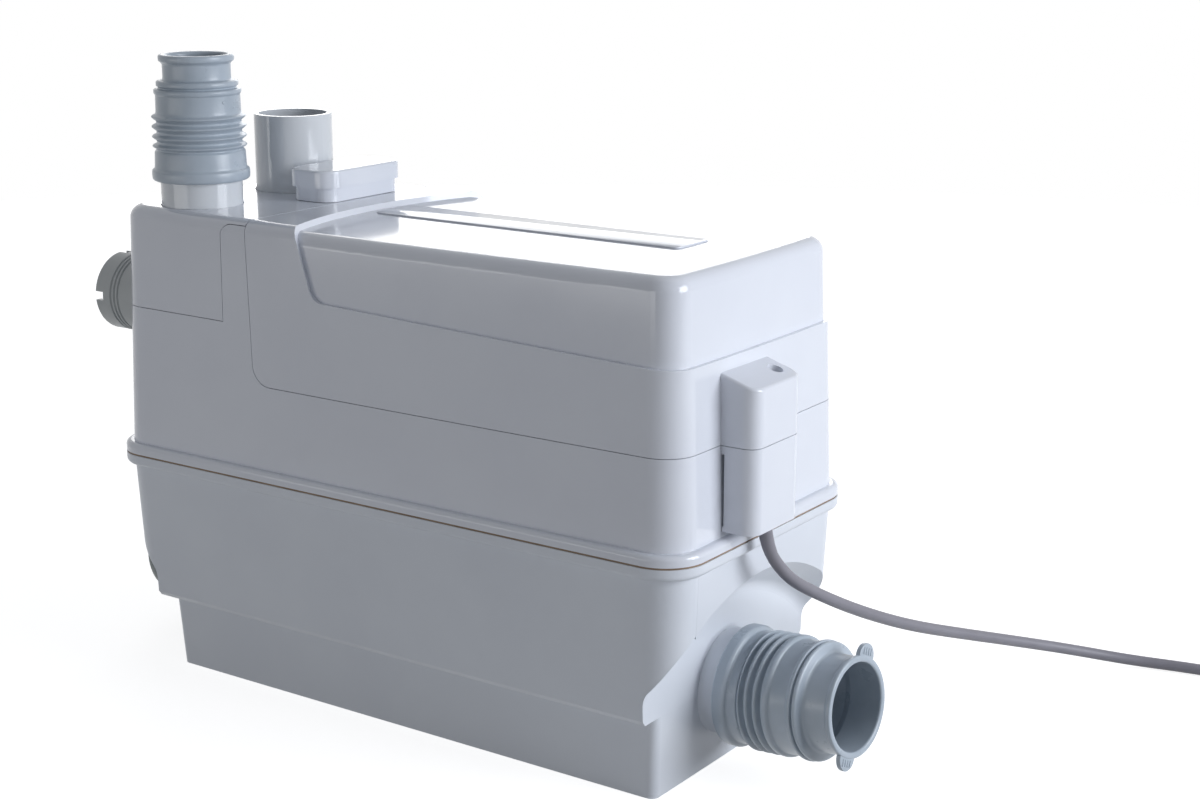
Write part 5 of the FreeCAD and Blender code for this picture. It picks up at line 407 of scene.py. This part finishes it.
def lay_cord():
    """One grey mains lead: out of the box, down to the floor, away to its coil and plug."""
    points = CORD_ROUTE + coil_points() + CORD_TAIL
    line = bpy.data.curves.new("mains_cord", "CURVE")
    line.dimensions = "3D"
    spline = line.splines.new("NURBS")
    spline.points.add(len(points) - 1)
    for spot, (x, y, z) in zip(spline.points, points):
        spot.co = (x * MM, y * MM, z * MM, 1)
    spline.order_u = 3
    spline.use_endpoint_u = True
    line.resolution_u = 8
    line.bevel_depth = CORD_RADIUS * MM
    line.bevel_resolution = 5
    line.use_fill_caps = True
    lead = link("mains_cord", line)
    finish_piece(lead, "station", "cord", "power_cord", "cord_coil", "cord_tail")
    return lead


def boot_cord(lead):
    """The rubber boot where the lead leaves the end box: a collar inside, then a slim taper."""
    line = lead.data.copy()
    line.bevel_depth = 0
    guide = link("boot_guide", line)
    bpy.context.view_layer.update()
    path = [vertex.co.copy() for vertex in bpy.data.meshes.new_from_object(guide).vertices]
    bpy.data.objects.remove(guide)
    along = np.cumsum([0] + [(b - a).length for a, b in zip(path, path[1:])])
    # distance along the lead from its end in the box, and the boot's radius there, in mm
    stations = [(7.2, 3.6), (7.25, 6.3), (10.2, 6.3), (10.3, 3.95), (15, 3.95), (20, 3.88), (25, 3.78),
                (30.5, 3.6)]
    made = bpy.data.curves.new("cord_boot", "CURVE")
    made.dimensions = "3D"
    spline = made.splines.new("POLY")
    spline.points.add(len(stations) - 1)
    for spot, (distance, radius) in zip(spline.points, stations):
        spot.co = (*[np.interp(distance * MM, along, [p[i] for p in path]) for i in range(3)], 1)
        spot.radius = radius
    made.bevel_depth = MM
    made.bevel_resolution = 12
    work_on(link("cord_boot", made))
    bpy.ops.object.convert(target="MESH")
    finish_piece(bpy.context.object, "station", "cord", "cord_gland")


STRAP_WIDTH, STRAP_WALL, STRAP_HEADING, STRAP_RADIUS = 9, 0.8, 11, 40.3


def tie_coil():
    """A soft strap round the coil's three turns, on the side away from the station."""
    loop = [(-5.5, 0.4), (5, 0.4), (7.6, 1.6), (8.1, 4.2), (7, 7.6), (4.4, 12), (1.8, 14.4), (-0.4, 15),
            (-2.6, 14.3), (-4.6, 12), (-7.2, 7.4), (-8, 4.2), (-7.6, 1.5)]
    strap = closed_loop("coil_tie", [(across * MM, 0, up * MM) for across, up in loop])
    work_on(strap)
    bpy.ops.object.mode_set(mode="EDIT")
    bpy.ops.mesh.select_all(action="SELECT")
    bpy.ops.transform.translate(value=(0, -STRAP_WIDTH / 2 * MM, 0))
    bpy.ops.mesh.extrude_region_move(TRANSFORM_OT_translate={"value": (0, STRAP_WIDTH * MM, 0)})
    bpy.ops.mesh.select_all(action="SELECT")
    bpy.ops.mesh.normals_make_consistent(inside=False)
    bpy.ops.object.mode_set(mode="OBJECT")
    round_up = strap.modifiers.new("rounded_loop", "SUBSURF")
    round_up.levels = round_up.render_levels = 2
    bpy.ops.object.modifier_apply(modifier=round_up.name)
    wall = strap.modifiers.new("strap_wall", "SOLIDIFY")
    wall.thickness = STRAP_WALL * MM
    wall.offset = 0
    bpy.ops.object.modifier_apply(modifier=wall.name)
    heading = math.radians(STRAP_HEADING)
    settle(strap, (COIL_MIDDLE[0] + STRAP_RADIUS * math.cos(heading),
                   COIL_MIDDLE[1] + STRAP_RADIUS * math.sin(heading), 0), (0, 0, STRAP_HEADING))
    finish_piece(strap, "station", "flap_rubber")
    return strap


# where the lead ends in the plug, which way it points, and its gripping flats from its axis
PLUG_END, PLUG_HEADING, PLUG_FLAT = CORD_TAIL[-1], -18.07, 15.5


def mould_plug():
    """The moulded-on plug: grooved tail, round body with two gripping flats and their ridges."""
    body = spun("mains_plug", [
        (0, 0), (5.6, 0), (5.8, 3), (4.6, 3.4), (4.6, 5), (6.4, 5.4), (6.7, 8.4), (5.2, 8.8), (5.2, 10.4),
        (7.2, 10.8), (7.6, 14), (6, 14.4), (6, 16), (8, 16.4), (9.4, 19.5), (15, 24), (18.2, 28.5), (19, 32),
        (19, 47), (18.4, 50), (16.2, 50), (15.8, 48.8), (0, 48.8)], rounding=0.5)
    work_on(body)
    bpy.ops.object.mode_set(mode="EDIT")
    for side in (1, -1):
        cut_off(side * PLUG_FLAT, side)
    bpy.ops.object.mode_set(mode="OBJECT")
    ridges = []
    for side in (1, -1):
        for step in range(5):
            ridge = block((0, side * PLUG_FLAT, 30 + 3.6 * step), (14, 1.6, 1.6))
            soften(ridge, 0.5)
            ridges.append(ridge)
    join_all(body, ridges)
    settle(body, PLUG_END, (0, 90, PLUG_HEADING))
    finish_piece(body, "station", "plug", "power_plug")
    prongs = [spun(f"prong_{side}", [(0, 48), (2.4, 48), (2.4, 66.4), (1.7, 68.6), (0, 69)],
                   (side * 9.5, 0, 0), rounding=0.6, steps=32) for side in (-1, 1)]
    join_all(prongs[0], prongs[1:])
    prongs[0].name = "plug_prongs"
    settle(prongs[0], (0, 0, 0), (0, 0, 90))
    settle(prongs[0], PLUG_END, (0, 90, PLUG_HEADING))
    finish_piece(prongs[0], "station", "pins", "plug_pins")
    return [body, prongs[0]]


# ---------------------------------------------------------------- rubber sleeves and cap

# the discharge axis, and the sleeve's lower edge above the floor
DISCHARGE_X, DISCHARGE_Y, DISCHARGE_FOOT = -164.5, -54, 317.5


def mould_discharge_sleeve():
    """The discharge sleeve: clamp bead, four soft ribs, a double lip and the flared outlet."""
    sleeve = spun("discharge_sleeve", [
        (25.05, 0), (28.6, 0), (29.7, 1), (29.9, 4), (29.7, 6.4), (28.3, 7.2), (28, 8.5), (27.6, 17.6),
        (26.4, 18.8), (26.6, 19.6), (28.8, 20.8), (28.6, 21.5), (26, 22.8), (25.8, 24.2), (28.8, 26.6),
        (28.6, 27.3), (26, 28.7), (25.8, 30.2), (28.8, 32.7), (28.6, 33.4), (26, 34.8), (25.8, 36.2),
        (28.8, 38.7), (28.6, 39.4), (26.2, 40.5), (25.9, 42), (25.7, 52.4), (26.5, 53), (26.6, 55.3),
        (25.6, 55.8), (23.7, 56.1), (23.7, 57), (24.9, 57.5), (24.9, 60), (23.9, 60.8), (20.9, 61.2),
        (20.7, 63), (20.7, 70.6), (21.6, 71.8), (22.9, 72.7), (23, 75.3), (22.2, 76.5), (19.2, 76.5),
        (18.1, 75.3), (18, 57.5), (22.6, 54.5), (22.65, 17), (25.05, 15.5)],
        (DISCHARGE_X, DISCHARGE_Y, DISCHARGE_FOOT), rounding=0.7)
    # the gate mark that the mould leaves on the smooth band
    pip = spun("gate_mark", [(0, 0), (1.1, 0), (0.9, 0.35), (0, 0.4)], (25.7, 0, 0), (0, 90, 0), 0.15, 20)
    settle(pip, (DISCHARGE_X, DISCHARGE_Y, DISCHARGE_FOOT + 48.5), (0, 0, -8))
    join_all(sleeve, [pip])
    finish_piece(sleeve, "station", "rubber", "discharge_connector", sharp=60)


# the recess face and the inlet's axis, how far out the sleeve bends, and by how much
INLET_FACE, INLET_LEVEL, INLET_BEND = 187.0, 49.0, 28.0
INLET_TILT = Euler((0, math.radians(-5), math.radians(-4.5)))
# collar and first ribs, the same on the sleeve and on the cap
RIBBED_FOOT = [
    (31.05, 11), (34.6, 11), (35.5, 12), (35.5, 17.6), (34.4, 19), (32.9, 19.6), (32.7, 21), (32.6, 26),
    (31, 27.2), (31, 28.2), (34.6, 29.4), (34.8, 30.2), (34.4, 31), (31, 32.4), (30.8, 33.6)]


def mould_inlet_sleeve():
    """The ribbed inlet sleeve: collar, four soft ribs, a thin lip, a flare and the mouth's pull tabs."""
    sleeve = spun("inlet_sleeve", RIBBED_FOOT + [
        (34.6, 35.2), (34.8, 36), (34.4, 36.8), (31, 38.2), (30.8, 39.2), (34.6, 40.9), (34.8, 41.7),
        (34.4, 42.5), (31, 44), (31, 45), (34.2, 46.2), (34.7, 47), (34.7, 49.4), (33.8, 50.4), (32.9, 50.8),
        (32.7, 52), (32.6, 61.6), (33.2, 62.6), (34.2, 63), (34.3, 64.8), (33.5, 65.2), (32.2, 65.4),
        (32.2, 66), (33.7, 66.4), (33.8, 68), (33, 68.8), (28.6, 69.8), (27.8, 71), (27.6, 83.8), (28, 84.6),
        (28.8, 85.2), (28.9, 87.4), (28.2, 88), (25.8, 88), (25, 87.2), (25, 67), (28, 62), (28, 31),
        (28.5, 29.6), (31.05, 24.6)],
        (INLET_FACE, 0, INLET_LEVEL), (0, 90, 0), rounding=0.7, steps=112)
    bend = Vector(((INLET_FACE + INLET_BEND) * MM, 0, INLET_LEVEL * MM))
    tabs = [pull_tab(turn) for turn in (25, 205)]
    join_all(sleeve, tabs)
    # past its bend the rubber leans up and towards the front
    for vertex in sleeve.data.vertices:
        past = (vertex.co.x - bend.x) / MM
        share = min(max((past + 4) / 8, 0), 1)
        tilt = Euler([a * share for a in INLET_TILT]).to_matrix()
        vertex.co = bend + tilt @ (vertex.co - bend)
    finish_piece(sleeve, "station", "rubber", "inlet_connector", sharp=60)


# a pull tab: its disc's radius, wall and middle from the sleeve's axis, its cut edge, and its height
TAB_RADIUS, TAB_WALL, TAB_OUT, TAB_EDGE, TAB_LEVEL = 7.4, 2.8, 28.4, 26.6, 86.2


def pull_tab(turn):
    """A rounded tongue on the mouth's edge with four fine ridges, turned round the sleeve's axis."""
    bpy.ops.mesh.primitive_cylinder_add(vertices=64, radius=TAB_RADIUS * MM, depth=TAB_WALL * MM,
                                        location=(0, TAB_OUT * MM, 0))
    tab = bpy.context.object
    bpy.ops.object.transform_apply(location=True)
    bpy.ops.object.mode_set(mode="EDIT")
    cut_off(TAB_EDGE, -1)
    bpy.ops.object.mode_set(mode="OBJECT")
    soften(tab, 0.8, 3)
    ridges = []
    for across in (-3.6, -1.2, 1.2, 3.6):
        ridge = block((across, 31.3, TAB_WALL / 2), (0.8, 4.2, 0.8))
        soften(ridge, 0.25)
        ridges.append(ridge)
    join_all(tab, ridges)
    settle(tab, (0, 0, TAB_LEVEL))
    settle(tab, (0, 0, 0), (0, 0, 90 - turn))
    settle(tab, (INLET_FACE, 0, INLET_LEVEL), (0, 90, 0))
    return tab


def mould_inlet_cap():
    """The blanking cap of the other inlet: the same ribbed foot, closed by a domed end."""
    cap = spun("blanking_cap", RIBBED_FOOT + [
        (34.6, 35), (34.8, 35.8), (34.4, 36.6), (31, 38), (31, 39), (33.4, 40.2), (33.8, 41.4), (33.8, 64),
        (33.2, 67.2), (31.2, 69.8), (27.8, 71.3), (0, 71.4), (0, 68.4), (27.6, 68.4), (30.2, 66), (30.4, 28),
        (28.4, 26.4), (31.05, 24.6)],
        (-INLET_FACE, 0, INLET_LEVEL), (0, -90, 0), rounding=0.7, steps=112)
    # dark_rubber is the grey rubber with painted shade, darkened because the cap lies in shadow
    finish_piece(cap, "station", "dark_rubber", "inlet_cap", sharp=60)


def mould_blank_panel():
    """The bare raised panel on the hood's top, over the cover's framing groove."""
    low, high = Vector((-66, -6, 298.4)), Vector((155, 28, 299.4))
    panel = block((low + high) / 2, high - low)
    panel.name = "hood_panel"
    corners = panel.modifiers.new("round_corners", "BEVEL")
    corners.width = 4 * MM
    corners.segments = 8
    corners.limit_method = "WEIGHT"
    weights = panel.data.attributes.new("bevel_weight_edge", "FLOAT", "EDGE")
    for edge in panel.data.edges:
        # only the upright edges, at the panel's corners in plan
        a, b = (panel.data.vertices[i].co for i in edge.vertices)
        weights.data[edge.index].value = 1.0 if abs(a.z - b.z) > 0.5 * MM else 0.0
    work_on(panel)
    bpy.ops.object.modifier_apply(modifier=corners.name)
    soften(panel, 0.25, 2, 60)
    finish_piece(panel, "access_cover", "housing")


def raise_parting_line():
    """The fine line that the two mould halves leave down the tank's end, beside its front corner."""
    line = block((0, 0, 0), (1.2, 0.5, 40))
    line.name = "parting_line"
    soften(line, 0.15)
    settle(line, (208.6, -67.8, 119.5), (0, 2.4, 0))
    finish_piece(line, "station", "tank")


materials = make_materials()
place_camera()
lead = lay_cord()
boot_cord(lead)
strap = tie_coil()
plug = mould_plug()
light_studio()
lay_floor()
dress_nodes()
mould_discharge_sleeve()
mould_inlet_sleeve()
mould_inlet_cap()
mould_blank_panel()
raise_parting_line()
